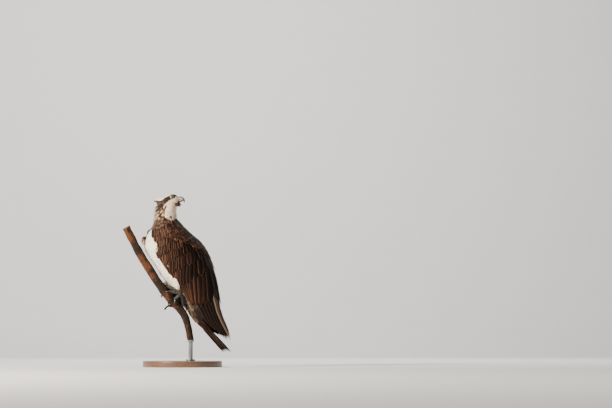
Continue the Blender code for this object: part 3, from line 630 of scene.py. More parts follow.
def make_skin():
    """One closed surface through all the flesh, inside the coat, with its points, normals and triangles."""
    raw = make_mesh("skin_raw", *join(skin_parts()))
    voxels = raw.modifiers.new("Voxels", "REMESH")
    voxels.mode = "VOXEL"
    voxels.voxel_size = SKIN_VOXEL * MM
    soften = raw.modifiers.new("Soften", "SMOOTH")
    soften.factor = 0.5
    soften.iterations = 6
    bpy.context.view_layer.update()
    graph = bpy.context.evaluated_depsgraph_get()
    mesh = bpy.data.meshes.new_from_object(raw.evaluated_get(graph), depsgraph=graph)
    bpy.data.objects.remove(raw)
    mesh.shade_smooth()
    skin = bpy.data.objects.new("skin", mesh)
    bpy.context.scene.collection.objects.link(skin)
    points = open_eyes(vertex_arrays(mesh)[0])
    mesh.vertices.foreach_set("co", (points * MM).astype(np.float32).ravel())
    mesh.update()
    points, normals = vertex_arrays(mesh)
    put_attribute(mesh, "paint", markings(points))
    mesh.materials.clear()
    mesh.materials.append(skin_material())
    mesh.calc_loop_triangles()
    triangles = np.zeros(len(mesh.loop_triangles) * 3, np.int32)
    mesh.loop_triangles.foreach_get("vertices", triangles)
    return skin, (points, normals, triangles.reshape(-1, 3))


def open_eyes(points):
    """Sinks the skin inside the eyeball where each eye opens."""
    for side in (1, -1):
        across, up, out = eye_axes(side)
        away = points - eye_centre(side)
        depth = away @ out
        reach = np.hypot((away @ across) / EYE_WIDE, (away @ up) / EYE_TALL)
        goal = 3.5 + 7.0 * ramp(reach, 0.85, 1.22)
        inside = (depth > 0) & (reach < 1.22)
        points = points - out * np.where(inside, np.maximum(depth - goal, 0), 0)[:, None]
    return points


def vertex_arrays(mesh):
    """A mesh's points in millimetres, and its normals."""
    arrays = []
    for field in ("co", "normal"):
        values = np.zeros(len(mesh.vertices) * 3, np.float32)
        mesh.vertices.foreach_get(field, values)
        arrays.append(values.reshape(-1, 3))
    return arrays[0].astype(float) / MM, unit(arrays[1])


# Markings


def regions(points):
    """Shares of head, neck, wing and tail bed, thigh and body at points on the skin."""
    h, d, left = bird_place(points)
    level = points[:, 2] - NECK_FOOT
    forward = head_place(points)[0]
    head = ramp(level, 38, 50) * ramp(level - 0.5 * forward, 40, 52)
    ring = h
    for _ in range(4):
        row = table_at(TORSO, ring)
        lean = np.radians(row[:, 1])
        across = (d - row[:, 0]) / np.cos(lean)
        ring = h + np.clip(across, -80, 80) * np.sin(lean)
    out = np.hypot(across / row[:, 2], left / row[:, 3])
    neck = ramp(level, -6, 3)
    open_front = (left < 0) * ramp(h, -20, 0) * ramp(wing_angle(points), FAR_FRONT + 2, FAR_FRONT - 2)
    open_front = open_front * ramp(from_bend(points), 27, 31)
    beyond = ramp(out, 1.01, 1.05) * (1 - neck) * (1 - open_front)
    thigh = ramp(np.minimum(thigh_distance(points, 1), thigh_distance(points, -1)), 3.5, 1.0) * beyond
    thigh *= ramp(h, 0, -12)
    return {"head": head, "neck": neck, "beyond": beyond, "thigh": thigh, "tail": ramp(h, -150, -158)}


def from_bend(points):
    """How far points lie from the bend of the far wing."""
    return np.linalg.norm(points - FAR_BEND, axis=1)


def thigh_distance(points, side):
    """How far points lie outside a thigh's surface."""
    centres, radii = thigh_line(side, 12)
    return (np.linalg.norm(points[:, None] - centres, axis=2) - radii).min(1)


# The mask's edges: up over forward, in the head's frame
MASK_TOP = [(-46, 8), (-36, 6.6), (-28, 5.4), (-20, 3.6), (-13, 3.2), (-5.5, 8.4)]
MASK_TOP += [(3, 11.6), (10, 13.6), (17, 16.6), (25, 19), (31, 15.5), (35, 12)]
MASK_FOOT = [(-46, -27), (-30, -26), (-20, -23), (-12, -19), (-6, -16), (0, -11.5)]
MASK_FOOT += [(6, -7), (11.5, -2.6), (20, 1.2), (26, 5), (31, 10), (35, 11)]
# Where the brown mantle starts: its level over the neck's foot, along x
COLLAR_LEVELS = [(-95, 24), (-76, 20), (-63, 13), (-26, 0), (-10, -16), (12, -26)]
NECK_SPOT = (-41.3, 495.3)  # a dark spot low on the camera side: x and z


def head_paint(points):
    """White crown and cheeks, a dark mask through the eye that widens to the nape, dark flecks, and painted
    shade on the chin under the bill.
    """
    x, _, u = head_place(points)
    rough = noise_at(points, 4.0, 1) * 1.8
    top = table_at(MASK_TOP, x)[:, 0]
    foot = table_at(MASK_FOOT, x)[:, 0]
    mask = ramp(u + rough, top + 0.8, top - 0.8) * ramp(u + rough, foot - 0.8, foot + 0.8)
    mask *= ramp(x, 35, 31)
    base = mix(WHITE, CREAM, 0.75 * ramp(u, 12, -14) + 0.25 * ramp(noise_at(points, 7.0, 15), -0.2, 0.4))
    lores = ramp(x, 24, 31) * ramp(u, 11, 7) * ramp(u, -9, -4)
    colour = mix(base, BUFF, lores * 0.6)
    warm = ramp(noise_at(points, 5.0, 11), -0.1, 0.35) * ramp(x, 8, -16)
    colour = mix(colour, mix(DARK_BROWN, TAN, warm * 0.30), mask)
    fleck = ramp(noise_at(points, 2.6, 2), 0.34, 0.44) * ramp(u, 9, 16) * ramp(x, 4, 20)
    small = ramp(noise_at(points, 2.6, 13), 0.22, 0.34) * ramp(u, 4, -6)
    colour = mix(colour, DARK_BROWN, np.maximum(fleck * 0.8, small * 0.5))
    # Painted shade: the chin under the bill is darkened to brown, standing in for the bill's shadow on the
    # throat.
    chin = ramp(x, 17, 25) * ramp(u, -8, -13)
    return mix(colour, mix(WARM_BROWN, DARK_BROWN, 0.4), chin * 0.9)


def mottled(points, seed, dark, pale=0.8):
    """Brown feathers among tan ones."""
    tan = mix(TAN, BUFF, ramp(noise_at(points, 5.0, seed), 0.0, 0.4))
    pale = pale * ramp(noise_at(points, 4.2, seed + 1), 0.0, 0.25)
    return mix(mix(WARM_BROWN, DARK_BROWN, dark), tan, pale)


def neck_paint(points):
    """Cream in front, ragged tan and brown at the nape, and brown down to the mantle."""
    level = points[:, 2] - NECK_FOOT
    row = table_at(NECK, level)
    angle = np.degrees(np.arctan2(points[:, 1] - row[:, 1], points[:, 0] - row[:, 0]))
    nape = np.abs(((angle - 180 + 180) % 360) - 180)
    rough = noise_at(points, 7.0, 3) * 22
    back = ramp(nape + rough, 82, 62)
    base = mix(WHITE, CREAM, np.clip(0.75 + 0.7 * noise_at(points, 10.0, 4), 0, 1))
    spot = ramp(noise_at(points, 3.0, 6), 0.24, 0.36) * ramp(level, 52, 20)
    colour = mix(base, DARK_BROWN, spot * 0.6)
    away = np.hypot(points[:, 0] - NECK_SPOT[0], points[:, 2] - NECK_SPOT[1])
    colour = mix(colour, DARK_BROWN, ramp(away, 4.5, 2.5) * (points[:, 1] < -14))
    colour = mix(colour, mottled(points, 21, 0.6), back * 0.95)
    start = np.interp(points[:, 0], *np.array(COLLAR_LEVELS, float).T)
    low = ramp(level + noise_at(points, 6.0, 23) * 5, start + 2.5, start - 2.5)
    return mix(colour, mottled(points, 24, 0.7, 0.3), low)


def body_paint(points):
    """White breast and belly, brown mottled shoulders above them, and painted shade in dark brown under the
    tail.
    """
    h, d, _ = bird_place(points)
    tan = 0.4 * ramp(noise_at(points, 14.0, 7), 0.05, 0.4) + 0.45 * ramp(h, 20, -70)
    colour = mix(WHITE, CREAM, tan)
    necklace = ramp(points[:, 2] + noise_at(points, 7.0, 8) * 9, 446, 455)
    colour = mix(colour, mottled(points, 26, 0.6, 0.28), necklace)
    # Painted shade: the vent under the tail is darkened to brown.
    vent_painted_shade = ramp(h + 0.25 * d, -92, -112)
    return mix(colour, mix(WARM_BROWN, DARK_BROWN, 0.4), 0.96 * vent_painted_shade)


def wing_edge_paint(points):
    """The bed of the wings: dark, and pale with brown spots at the far wing's bend."""
    h, _, left = bird_place(points)
    angle = wing_angle(points)
    front = mix(WARM_BROWN, DARK_BROWN, ramp(angle, -45, 0))
    colour = mix(front, mottled(points, 31, 0.6, 0.25), ramp(h, 55, 80) * ramp(angle, 60, 20))
    spots = mix(mix(BUFF, CREAM, 0.35), WARM_BROWN, ramp(noise_at(points, 5.0, 33), -0.08, 0.06))
    return mix(colour, spots, ramp(from_bend(points), 34, 26) * (left < 0))


def markings(points):
    """The plumage's colour at points on the skin or at the roots of feathers."""
    share = regions(points)
    # Painted shade: the thighs turn grey-brown towards their lower ends, under the body.
    low = ramp(bird_place(points)[0] + noise_at(points, 6.0, 41) * 8, -62, -76)
    thigh = mix(mix(WHITE, CREAM, 0.35), mix(GREY_TAN, WARM_BROWN, 0.9), low)
    colour = mix(body_paint(points), wing_edge_paint(points), share["beyond"])
    colour = mix(colour, thigh, share["thigh"])
    colour = mix(colour, DARK_BROWN, share["tail"])
    colour = mix(colour, neck_paint(points), share["neck"])
    return mix(colour, head_paint(points), share["head"])


# The coat: small feathers set on the skin


TUFT_ROWS = np.array([(0, 0.40), (0.22, 0.85), (0.50, 1.0), (0.76, 0.86), (0.92, 0.50), (1.0, 0.10)])
DOWN_ROWS = np.array([(0, 0.55), (0.45, 1.0), (0.80, 0.70), (1.0, 0.12)])
LOCK_ROWS = np.array([(0, 0.7), (0.3, 1.0), (0.6, 0.72), (0.85, 0.36), (1.0, 0.04)])


def flow(points):
    """The way feathers lie: back over the head, down the neck, and tailwards along the body."""
    level = points[:, 2] - NECK_FOOT
    head = ramp(level, 36, 60) * (1 - 0.7 * ramp(head_place(points)[2], -6, -24))
    body = ramp(level, 12, -22)
    down = np.clip(1 - head - body, 0, 1)
    toward = head[:, None] * (-HEAD_FORWARD) + body[:, None] * (-HEADWARDS) - down[:, None] * UP
    return unit(toward)


def spread(points, spacing, rng):
    """Indices of points that keep at least a spacing apart."""
    keys = np.floor(points / (spacing / 1.733)).astype(int)
    steps = (-2, -1, 0, 1, 2)
    around = [(i, j, k) for i in steps for j in steps for k in steps]
    kept = {}
    for i in rng.permutation(len(points)):
        a, b, c = keys[i]
        if (a, b, c) in kept:
            continue
        near = (kept.get((a + dx, b + dy, c + dz)) for dx, dy, dz in around)
        gaps = (points[i] - points[other] for other in near if other is not None)
        if all(gap @ gap >= spacing * spacing for gap in gaps):
            kept[(a, b, c)] = i
    return np.array(sorted(kept.values()))


NECK_AXIS = (-55, -14.5)
UV_NECK, UV_HEAD = 150, 260  # where the neck and the head start along the unwrap


def unwrap(points):
    """Where points lie on an unwrap of the skin: round the body's middle line, and along it."""
    h, d, left = bird_place(points)
    x, s, u = head_place(points)
    level = points[:, 2] - NECK_FOOT
    body, head = ramp(level, 8, -8) > 0.5, ramp(level, 38, 50) > 0.5
    neck_turn = np.arctan2(points[:, 1] - NECK_AXIS[1], points[:, 0] - NECK_AXIS[0])
    along = np.where(body, h, np.where(head, UV_HEAD + x, UV_NECK + level))
    around = np.where(body, np.arctan2(left, d), np.where(head, np.arctan2(s, -u), neck_turn))
    return np.stack([around / (2 * math.pi) + 0.5, along], -1)


TUFT_PATCH = 0.003  # size of one feather on the UV map


def tufts(name, roots, normals, along, rows, length, half, lift, rng, paint, bend, material,
          ragged=0.05, camber=0.16, sink=0.7, rim=0.0, tips=None):
    """Joined thin feathers from roots and directions on a surface, with their lifts in radians."""
    count, steps = len(roots), len(rows)
    length, half, lift = (deep(np.broadcast_to(values, count)) for values in (length, half, lift))
    wide = rows[:, 1][None, :, None]
    share = np.broadcast_to(rows[:, 0][None, :, None], (count, steps, 3)).copy()
    for edge in (0, 2):
        share[:, -2:, edge] -= rng.uniform(0, ragged * 2, (count, 1))
    edge = np.array([-1.0, 0.0, 1.0])
    run = share * length
    out = edge * wide * half
    rise = run * np.sin(lift) - run**2 / (2 * bend) - sink + camber * half * (1 - np.abs(edge)) * wide
    side = unit(np.cross(normals, along))
    points = roots[:, None, None]
    for direction, reach in ((along, run * np.cos(lift)), (normals, rise), (side, out)):
        points = points + direction[:, None, None] * reach[..., None]
    at = np.arange(steps * 3).reshape(steps, 3)
    a, b = at[:-1], at[1:]
    faces = [quads(a[:, e], a[:, e + 1], b[:, e + 1], b[:, e]) for e in (0, 1)]
    faces.append(quads(a[:, 2], a[:, 0], b[:, 0], b[:, 2]))
    faces += [at[0][None, ::-1], at[-1][None]]
    faces = np.concatenate(faces) + (np.arange(count) * steps * 3)[:, None, None]
    edge = np.broadcast_to(edge, share.shape)
    tone = np.broadcast_to(rng.uniform(0, 1, (count, 1, 1)), share.shape)
    colours = np.broadcast_to(paint[:, None, None], (*share.shape, 3))
    if tips is not None:
        colours = mix(colours, tips[:, None, None], ramp(share, 0.25, 0.65))
    place = unwrap(roots)
    place[:, 1] = (place[:, 1] - place[:, 1].min()) / max(np.ptp(place[:, 1]), 1.0)
    uv = 0.02 + 0.95 * np.clip(place, 0, 1)[:, None, None]
    uv = uv + TUFT_PATCH * np.stack([edge * 0.5 + 0.5, share], -1)
    attributes = {
        "vane": np.stack([share, edge, tone], -1).reshape(-1, 3),
        "paint": colours.reshape(-1, 3),
        "barb": (run + 0.8 * np.abs(out)).reshape(-1),
        "rim": np.full(share.size, rim),
    }
    points, faces, uv = points.reshape(-1, 3), faces.reshape(-1, 3), uv.reshape(-1, 2)
    return make_mesh(name, points, faces, material, attributes, uv, 75)


def lie(points, normals, rng, wander):
    """Directions along the coat at points, square to the normals, with a little wander."""
    along = flattened(flow(points), normals)
    side = np.cross(normals, along)
    angle = rng.normal(0, wander, len(points))[:, None]
    return unit(along * np.cos(angle) + side * np.sin(angle))


SAMPLES = 5.0  # random points tried for each square of the spacing


def coat_zone(skin, keep, spacing, rng):
    """Points and normals on the skin's kept triangles, at least a spacing apart."""
    points, normals, triangles = skin
    chosen = triangles[keep[triangles].all(axis=1)]
    corner = points[chosen]
    area = np.linalg.norm(np.cross(corner[:, 1] - corner[:, 0], corner[:, 2] - corner[:, 0]), axis=1) / 2
    count = int(SAMPLES * area.sum() / spacing**2)
    pick = chosen[rng.choice(len(chosen), count, p=area / area.sum())]
    share = rng.dirichlet((1.0, 1.0, 1.0), count)[:, :, None]
    p, n = (points[pick] * share).sum(1), unit((normals[pick] * share).sum(1))
    index = spread(p, spacing, rng)
    return p[index], n[index]


def make_coat(skin):
    """The small feathers of the body, thighs, neck and head."""
    points = skin[0]
    rng = np.random.default_rng(SEED)
    share = regions(points)
    x, s, u = head_place(points)
    h = bird_place(points)[0]
    feather = plumage("body_feathers", 1.1, 0.10, 0.25)
    made = []

    def add(name, keep, spacing, rows, length, half, lift, bend, wander=0.16, **more):
        p, n = coat_zone(skin, keep, spacing, rng)
        along = lie(p, n, rng, wander)
        scale = rng.uniform(0.85, 1.15, len(p))
        lifts = np.clip(rng.normal(lift, 0.05, len(p)), 0.02, 0.6)
        sizes = (rows, length * scale, half * scale, lifts)
        made.append(tufts(name, p, n, along, *sizes, rng, markings(p), bend, feather, **more))

    body = (share["neck"] < 0.5) & (share["beyond"] < 0.5) & (h > -158)
    add("coat_body", body, 3.3, TUFT_ROWS, 14.0, 3.9, 0.15, 58, sink=0.8, ragged=0.08)
    shoulder = (share["neck"] < 0.5) & (share["beyond"] >= 0.5) & (h > 60) & (wing_angle(points) < 95)
    add("coat_shoulder", shoulder, 4.6, TUFT_ROWS, 12.0, 4.2, 0.20, 60, 0.22, sink=0.8, ragged=0.08, rim=0.75)
    thigh = (share["thigh"] > 0.5) & (share["neck"] < 0.5)
    add("coat_thighs", thigh, 3.0, TUFT_ROWS, 12.0, 3.0, 0.14, 24, sink=0.8, ragged=0.08)
    neck = (share["neck"] >= 0.5) & (share["head"] < 0.5)
    add("coat_neck", neck, 2.1, TUFT_ROWS, 8.5, 2.1, 0.17, 34, sink=0.5, ragged=0.08)
    head = (share["head"] >= 0.5) & (x < 34.5)
    for side in (1, -1):
        eye_opening = eye_centre(side) + eye_axes(side)[2] * 6.0
        head &= np.linalg.norm(points - eye_opening, axis=1) > 8.0
    face = head & (x > 23)
    add("coat_face", face, 1.15, DOWN_ROWS, 2.6, 0.75, 0.15, 14, 0.2, sink=0.25)
    add("coat_head", head & ~face, 1.4, DOWN_ROWS, 5.0, 1.2, 0.14, 26, sink=0.35, ragged=0.06)
    chin = head & (u < -9) & (x > 8) & (np.abs(s) < 17)
    add("coat_chin", chin, 2.0, LOCK_ROWS, 9.5, 1.3, 0.34, 60, 0.25, sink=0.35)
    return made


def wing_angle(points):
    """Degrees round the body at H from the side towards the back, 90 on the back, for either side."""
    h, d, left = bird_place(points)
    row = table_at(WING, h)
    return np.degrees(np.arctan2((d - row[:, 0]) / row[:, 1], np.abs(left) / row[:, 2]))


def neck_surface(level, angle, lift):
    """Points of the neck's side: angle in degrees from its nape, towards the camera side."""
    level, angle = np.broadcast_arrays(np.asarray(level, float), np.asarray(angle, float))
    row = table_at(NECK, level)
    a = np.radians(180 + angle)
    x = row[..., 0] + (row[..., 2] + lift) * np.cos(a)
    y = row[..., 1] + (row[..., 3] + lift) * np.sin(a)
    return np.stack([x, y, NECK_FOOT + level], -1)


# Rows of the nape: level, locks, lift of the locks in radians, length
NAPE_LEVELS = [
    (62, 11, 0.70, 19),
    (51, 12, 0.86, 22),
    (39, 12, 0.92, 23),
    (27, 13, 0.88, 22),
    (15, 14, 0.76, 21),
    (3, 15, 0.56, 19),
]
NAPE_REACH, NAPE_BLADES = 76.0, 7  # degrees covered to each side, and blades of a lock
# The crest behind the crown: places along the head, blades at each
CREST_ROWS, CREST_BLADES = (-16, -22, -28, -33), 3


def make_nape():
    """Ragged locks of the nape in layers, each of a few narrow blades, and the crest behind the crown."""
    rng = np.random.default_rng(SEED + 1)
    blades = []  # root, normal, direction, length, half width, lift and shade of each, below 0 in the crest
    for level, count, stand, long in NAPE_LEVELS:
        for k in range(count):
            angle = -NAPE_REACH + 2 * NAPE_REACH * (k + rng.uniform(-0.3, 0.3)) / (count - 1)
            p = neck_surface(level + rng.uniform(-1.2, 1.2), angle, -1.0)
            a = math.radians(180 + angle)
            n = np.array([math.cos(a), math.sin(a), 0.12])
            calm = 1 - 0.75 * float(ramp(abs(angle), 30, NAPE_REACH))
            shade = rng.uniform()
            way = -UP + 0.5 * (-HEAD_FORWARD) + rng.normal(0, 0.12, 3)
            reach = long * rng.uniform(0.85, 1.15)
            up = stand * calm * rng.uniform(0.8, 1.1)
            for _ in range(NAPE_BLADES):
                blade = [p + rng.uniform(-1.9, 1.9, 3), n, way + rng.normal(0, 0.07, 3)]
                blade += [reach * rng.uniform(0.7, 1.0), rng.uniform(1.1, 1.8), up * rng.uniform(0.9, 1.05)]
                blades.append([*blade, shade])
    for angle in np.linspace(-84, 84, 27):
        top = float(ramp(abs(angle), 70, 30))
        for x in CREST_ROWS:
            p = head_surface(x, angle, -1.0)
            out = unit(head_surface(x, angle, 2.0) - p)
            for _ in range(CREST_BLADES):
                way = -HEAD_FORWARD + (0.10 * top - 0.22 * (1 - top)) * UP + rng.normal(0, 0.09, 3)
                blade = [p + rng.uniform(-1, 1, 3), out, way]
                blade += [rng.uniform(8, 14), rng.uniform(0.9, 1.4), rng.uniform(0.06, 0.20), -1.0]
                blades.append(blade)
    roots, normals, way, length, half, lift, shade = (np.array(values) for values in zip(*blades))
    normals = unit(normals)
    paint = markings(roots)
    loose = shade >= 0
    level = roots[:, 2] - NECK_FOOT
    nape = mix(DARK_BROWN, WARM_BROWN, np.clip(shade * 0.8, 0, 1))
    pale = mix(TAN, BUFF, rng.uniform(0, 0.9, len(roots)))
    pale = mix(pale, CREAM, 0.7 * (shade > 0.72) * ramp(level, 8, 24))
    pale = mix(pale, DARK_BROWN, 0.85 * ramp(level, 43, 50))
    pale = mix(pale, WARM_BROWN, 0.65 * ramp(level, 20, 6))
    tips = mix(paint, mix(nape, pale, shade > 0.2), loose)
    paint = mix(paint, nape, loose * 0.9)
    look = plumage("nape_feathers", 1.1, 0.10, 0.2)
    sizes = (LOCK_ROWS, length, half, lift)
    return tufts("nape_locks", roots, normals, flattened(way, normals), *sizes, rng, paint, 90.0, look,
                 ragged=0.03, camber=0.2, sink=0.8, tips=tips)


def make_chin_tufts():
    """Chin feathers that stand out below the bill, painted dark brown as painted shade under the bill."""
    rng = np.random.default_rng(SEED + 18)
    x, angle = np.meshgrid(np.linspace(17, 35, 11), np.linspace(122, 238, 17))
    x = x.ravel() + rng.uniform(-0.8, 0.8, x.size)
    angle = angle.ravel() + rng.uniform(-3, 3, angle.size)
    roots = head_surface(x, angle, -1.0)
    normals = unit(head_surface(x, angle, 2.0) - roots)
    way = HEAD_FORWARD * 0.70 - HEAD_UP * 0.72 + rng.normal(0, 0.12, roots.shape)
    level = ramp(x, 20, 34)
    length = (8.0 + 7.0 * level) * rng.uniform(0.7, 1.0, len(x))
    half = rng.uniform(0.7, 1.2, len(x))
    lift = (0.25 + 0.55 * level) * rng.uniform(0.8, 1.1, len(x))
    # Painted shade: these chin feathers are dark brown where the bill shades the throat.
    paint = mix(WARM_BROWN, DARK_BROWN, rng.uniform(0, 1, len(x)))
    paint = mix(paint, markings(roots), 1 - ramp(x, 18, 24))
    tips = mix(paint, TAN, 0.25 * rng.uniform(0, 1, len(x)))
    look = plumage("chin_feathers_painted_shade", 1.1, 0.10, 0.2)
    sizes = (LOCK_ROWS, length, half, lift)
    return tufts("chin_tufts_painted_shade", roots, normals, flattened(way, normals), *sizes, rng, paint, 60.0, look,
                 ragged=0.03, camber=0.2, sink=0.6, tips=tips)


# Large vanes: coverts, flight feathers, mantle and tail


VANE_EDGES = np.array([-1.0, -0.55, -0.10, 0.0, 0.10, 0.55, 1.0])
VANE_SHARES = np.array([0, 0.14, 0.30, 0.48, 0.64, 0.78, 0.88, 0.95, 1.0])
VANE_THICK, SHAFT_RISE = 0.42, 0.30


# The outline of a kind of feather: where it starts to narrow, how roundly, and its width at the root
VANE_KINDS = {
    "scale": (0.55, 2.0, 0.62),
    "round": (0.72, 2.2, 0.66),
    "blade": (0.62, 1.9, 0.6),
    "quill": (0.70, 1.7, 0.55),
}


def vane_width(kind, share):
    """The half width along a feather of a kind, as a share of its widest."""
    start, power, base = VANE_KINDS[kind]
    swell = base + (1 - base) * ramp(share, 0.0, 0.35)
    past = np.clip((share - start) / (1 - start), 0, 1)
    return swell * np.maximum(1 - past**power, 0.0) ** 0.5 * 0.985 + 0.015


def vane_faces():
    """Triangles of one closed feather: its upper and under side, edges, root and tip."""
    rows, columns = len(VANE_SHARES), len(VANE_EDGES)
    top, under = np.arange(2 * rows * columns).reshape(2, rows, columns)
    return np.concatenate(
        [
            quads(top[:-1, :-1], top[:-1, 1:], top[1:, 1:], top[1:, :-1]),
            quads(under[:-1, :-1], under[1:, :-1], under[1:, 1:], under[:-1, 1:]),
            quads(top[:-1, 0], top[1:, 0], under[1:, 0], under[:-1, 0]),
            quads(top[:-1, -1], under[:-1, -1], under[1:, -1], top[1:, -1]),
            quads(top[0, :-1], under[0, :-1], under[0, 1:], top[0, 1:]),
            quads(top[-1, :-1], top[-1, 1:], under[-1, 1:], under[-1, :-1]),
        ]
    )


def vane_uv(edge, share):
    """A cell of the UV map for each feather, with a half of it for the upper and for the under side."""
    n = len(share)
    wide = math.ceil(math.sqrt(n))
    cell = np.stack([np.arange(n) % wide, np.arange(n) // wide], -1)[:, None, None, None] / wide
    half_cell = np.array([0.0, 0.5])[None, :, None, None] / wide
    patch_u = (edge * 0.5 + 0.5)[:, None] * 0.44 / wide + half_cell
    patch_v = np.broadcast_to(np.clip(share, 0, 1)[:, None] * 0.92 / wide, patch_u.shape)
    return 0.01 + 0.98 * (cell + np.stack([patch_u, patch_v], -1))


def both_sides(values):
    """One row of values for each point of the upper and the under sides."""
    return np.stack([values, values], axis=1).reshape(-1, *values.shape[3:])


def large_vanes(name, place, feathers, seed, material):
    """Joined feathers over a surface.

    place(u, v, lift) gives points of the surface. Each feather is a dict with root and tip (u, v), half width
    in millimetres, lifts of root and tip, kind, paint, and where it has them rim, tip_paint, web and
    web_paint, tilt across, arch and sideways lean.
    """
    rng, feathers = np.random.default_rng(seed), list(feathers)
    n, rows, columns = len(feathers), len(VANE_SHARES), len(VANE_EDGES)

    def given(key, other=None):
        """One value of each feather. Where it has none, other is the value or the key to read."""
        return np.array([f.get(key, f.get(other, other)) for f in feathers], float)[:, None, None]

    share = np.broadcast_to(VANE_SHARES[:, None], (n, rows, columns))
    edge = np.broadcast_to(VANE_EDGES, share.shape)
    root, tip, lifts = given("root"), given("tip"), given("lifts")
    width = np.stack([vane_width(f["kind"], VANE_SHARES) for f in feathers])[:, :, None]
    notch = rng.uniform(-0.05, 0.05, (n, rows, 2)) * ramp(VANE_SHARES, 0.1, 0.6)[:, None]
    stretch = np.ones_like(share)
    stretch[:, :, 0] += notch[:, :, 0]
    stretch[:, :, -1] += notch[:, :, 1]
    share = share - np.where(share > 0.9, 0.035 * np.abs(edge) * rng.uniform(0.5, 1.5, (n, 1, 1)), 0)
    u, v = np.moveaxis((root + tip) / 2, -1, 0)
    step = np.linalg.norm(place(u, v + 1.0, 0 * u) - place(u, v, 0 * u), axis=-1)
    du, turn = np.moveaxis(tip - root, -1, 0)
    dv = turn * step
    long = np.hypot(du, dv)
    out = edge * stretch * (width * given("half")) + given("lean", 0.0) * share * (1 - share) * 4
    u = root[..., 0] + du * share - (dv / long) * out
    v = root[..., 1] + turn * share + (du / long / step) * out
    way = np.sign(du)
    rise = lifts[..., 0] + (lifts[..., 1] - lifts[..., 0]) * share**0.8
    rise = rise + given("arch", 0.5) * (1 - np.abs(edge) ** 1.5) - given("tilt", 1.0) * edge * way * width
    rise = rise + SHAFT_RISE * bell(edge, 0, 0.08) * (1 - share)
    thick = VANE_THICK * (1 - 0.5 * share)
    points = np.stack([place(u, v, rise + thick / 2), place(u, v, rise - thick / 2)], axis=1)
    faces = vane_faces() + (np.arange(n) * 2 * rows * columns)[:, None, None]
    colours = mix(given("paint"), given("tip_paint", "paint"), ramp(share, 0.35, 1.0))
    web = np.clip(given("web", 0.0) * ramp(edge * way, -0.05, -0.45), 0, 1)
    colours = mix(colours, given("web_paint", "paint"), web)
    colours = mix(colours, BLACK_BROWN, 0.55 * bell(edge, 0, 0.07))
    tone = np.broadcast_to(rng.uniform(0, 1, (n, 1, 1)), share.shape)
    attributes = {
        "vane": both_sides(np.stack([share, edge, tone], -1)),
        "paint": both_sides(colours),
        "barb": both_sides(share * long + 0.8 * np.abs(out)),
        "rim": both_sides(np.broadcast_to(given("rim", 0.5), share.shape)),
    }
    uv = vane_uv(edge, share).reshape(-1, 2)
    return make_mesh(name, points.reshape(-1, 3), faces.reshape(-1, 3), material, attributes, uv, 60)


LINE_TOP, LINE_FOOT, LINE_STEP = 132.0, -200.0, -2.0


def flow_lines(starts, bend=0.37):
    """Angles of the lines that coverts follow down a folded wing: rows of H, columns of lines."""
    heights = np.arange(LINE_TOP, LINE_FOOT, LINE_STEP)
    angles = [np.array(starts, float)]
    for _ in heights[1:]:
        calm = np.clip((76 - angles[-1]) / 62, 0, 1)
        angles.append(angles[-1] + LINE_STEP * bend * calm)
    return heights, np.array(angles)


# Tiers of the render's wing: root H, tip H at the front and at the back, half width's share, lift, kind, rim
TIERS = [
    ("marginal", 132, 110, 112, 0.66, 0.4, "scale", 0.9),
    ("shoulder", 120, 92, 94, 0.66, 0.8, "scale", 0.9),
    ("lesser_a", 106, 72, 76, 0.64, 1.1, "round", 0.85),
    ("lesser_b", 88, 46, 52, 0.62, 1.2, "round", 0.8),
    ("median_a", 68, 14, 24, 0.62, 1.1, "round", 0.75),
    ("median_b", 44, -22, -8, 0.62, 0.9, "round", 0.7),
    ("greater", 14, -80, -56, 0.62, 0.8, "blade", 0.6),
    ("secondary", -34, -150, -186, 0.64, 0.5, "blade", 0.5),
]
UNDER_MANTLE = ("marginal", "shoulder")  # tiers that the mantle covers at the back
# The innermost flight feathers: angle, H of the root and the tip
TERTIALS = [(60, -30, -146), (68, -26, -166), (76, -22, -184), (83, -20, -198)]
# The wing's long outer feathers: angle, H of the tip
PRIMARIES = [(-33, -258), (-21, -276), (-9, -290), (4, -300), (17, -309), (30, -316), (42, -316), (53, -308)]
PALE_PRIMARIES = (5, 6)


WING_FRONT, WING_SPREAD = -56.0, 140.0  # the front edge and the way to the back, in degrees
BACK_SEAM = 88.8  # how far a wing's feathers reach on the back


def wing_front(side, h):
    """The angle where a folded wing's front edge lies on the breast, at H."""
    if side < 0:
        return WING_FRONT + (FAR_FRONT - WING_FRONT) * ramp(h, -20, 20)
    return WING_FRONT - 8.0 * ramp(h, 5, 50)


def wing_paint(h, angle):
    """Warm brown in front, near black towards the rear and the tip."""
    rear = ramp(angle, -45, 40)
    colour = mix(WARM_BROWN, DARK_BROWN, 0.5 + 0.5 * rear)
    return mix(colour, BLACK_BROWN, 0.75 * ramp(h, 40, -100) * ramp(angle, -25, 30))


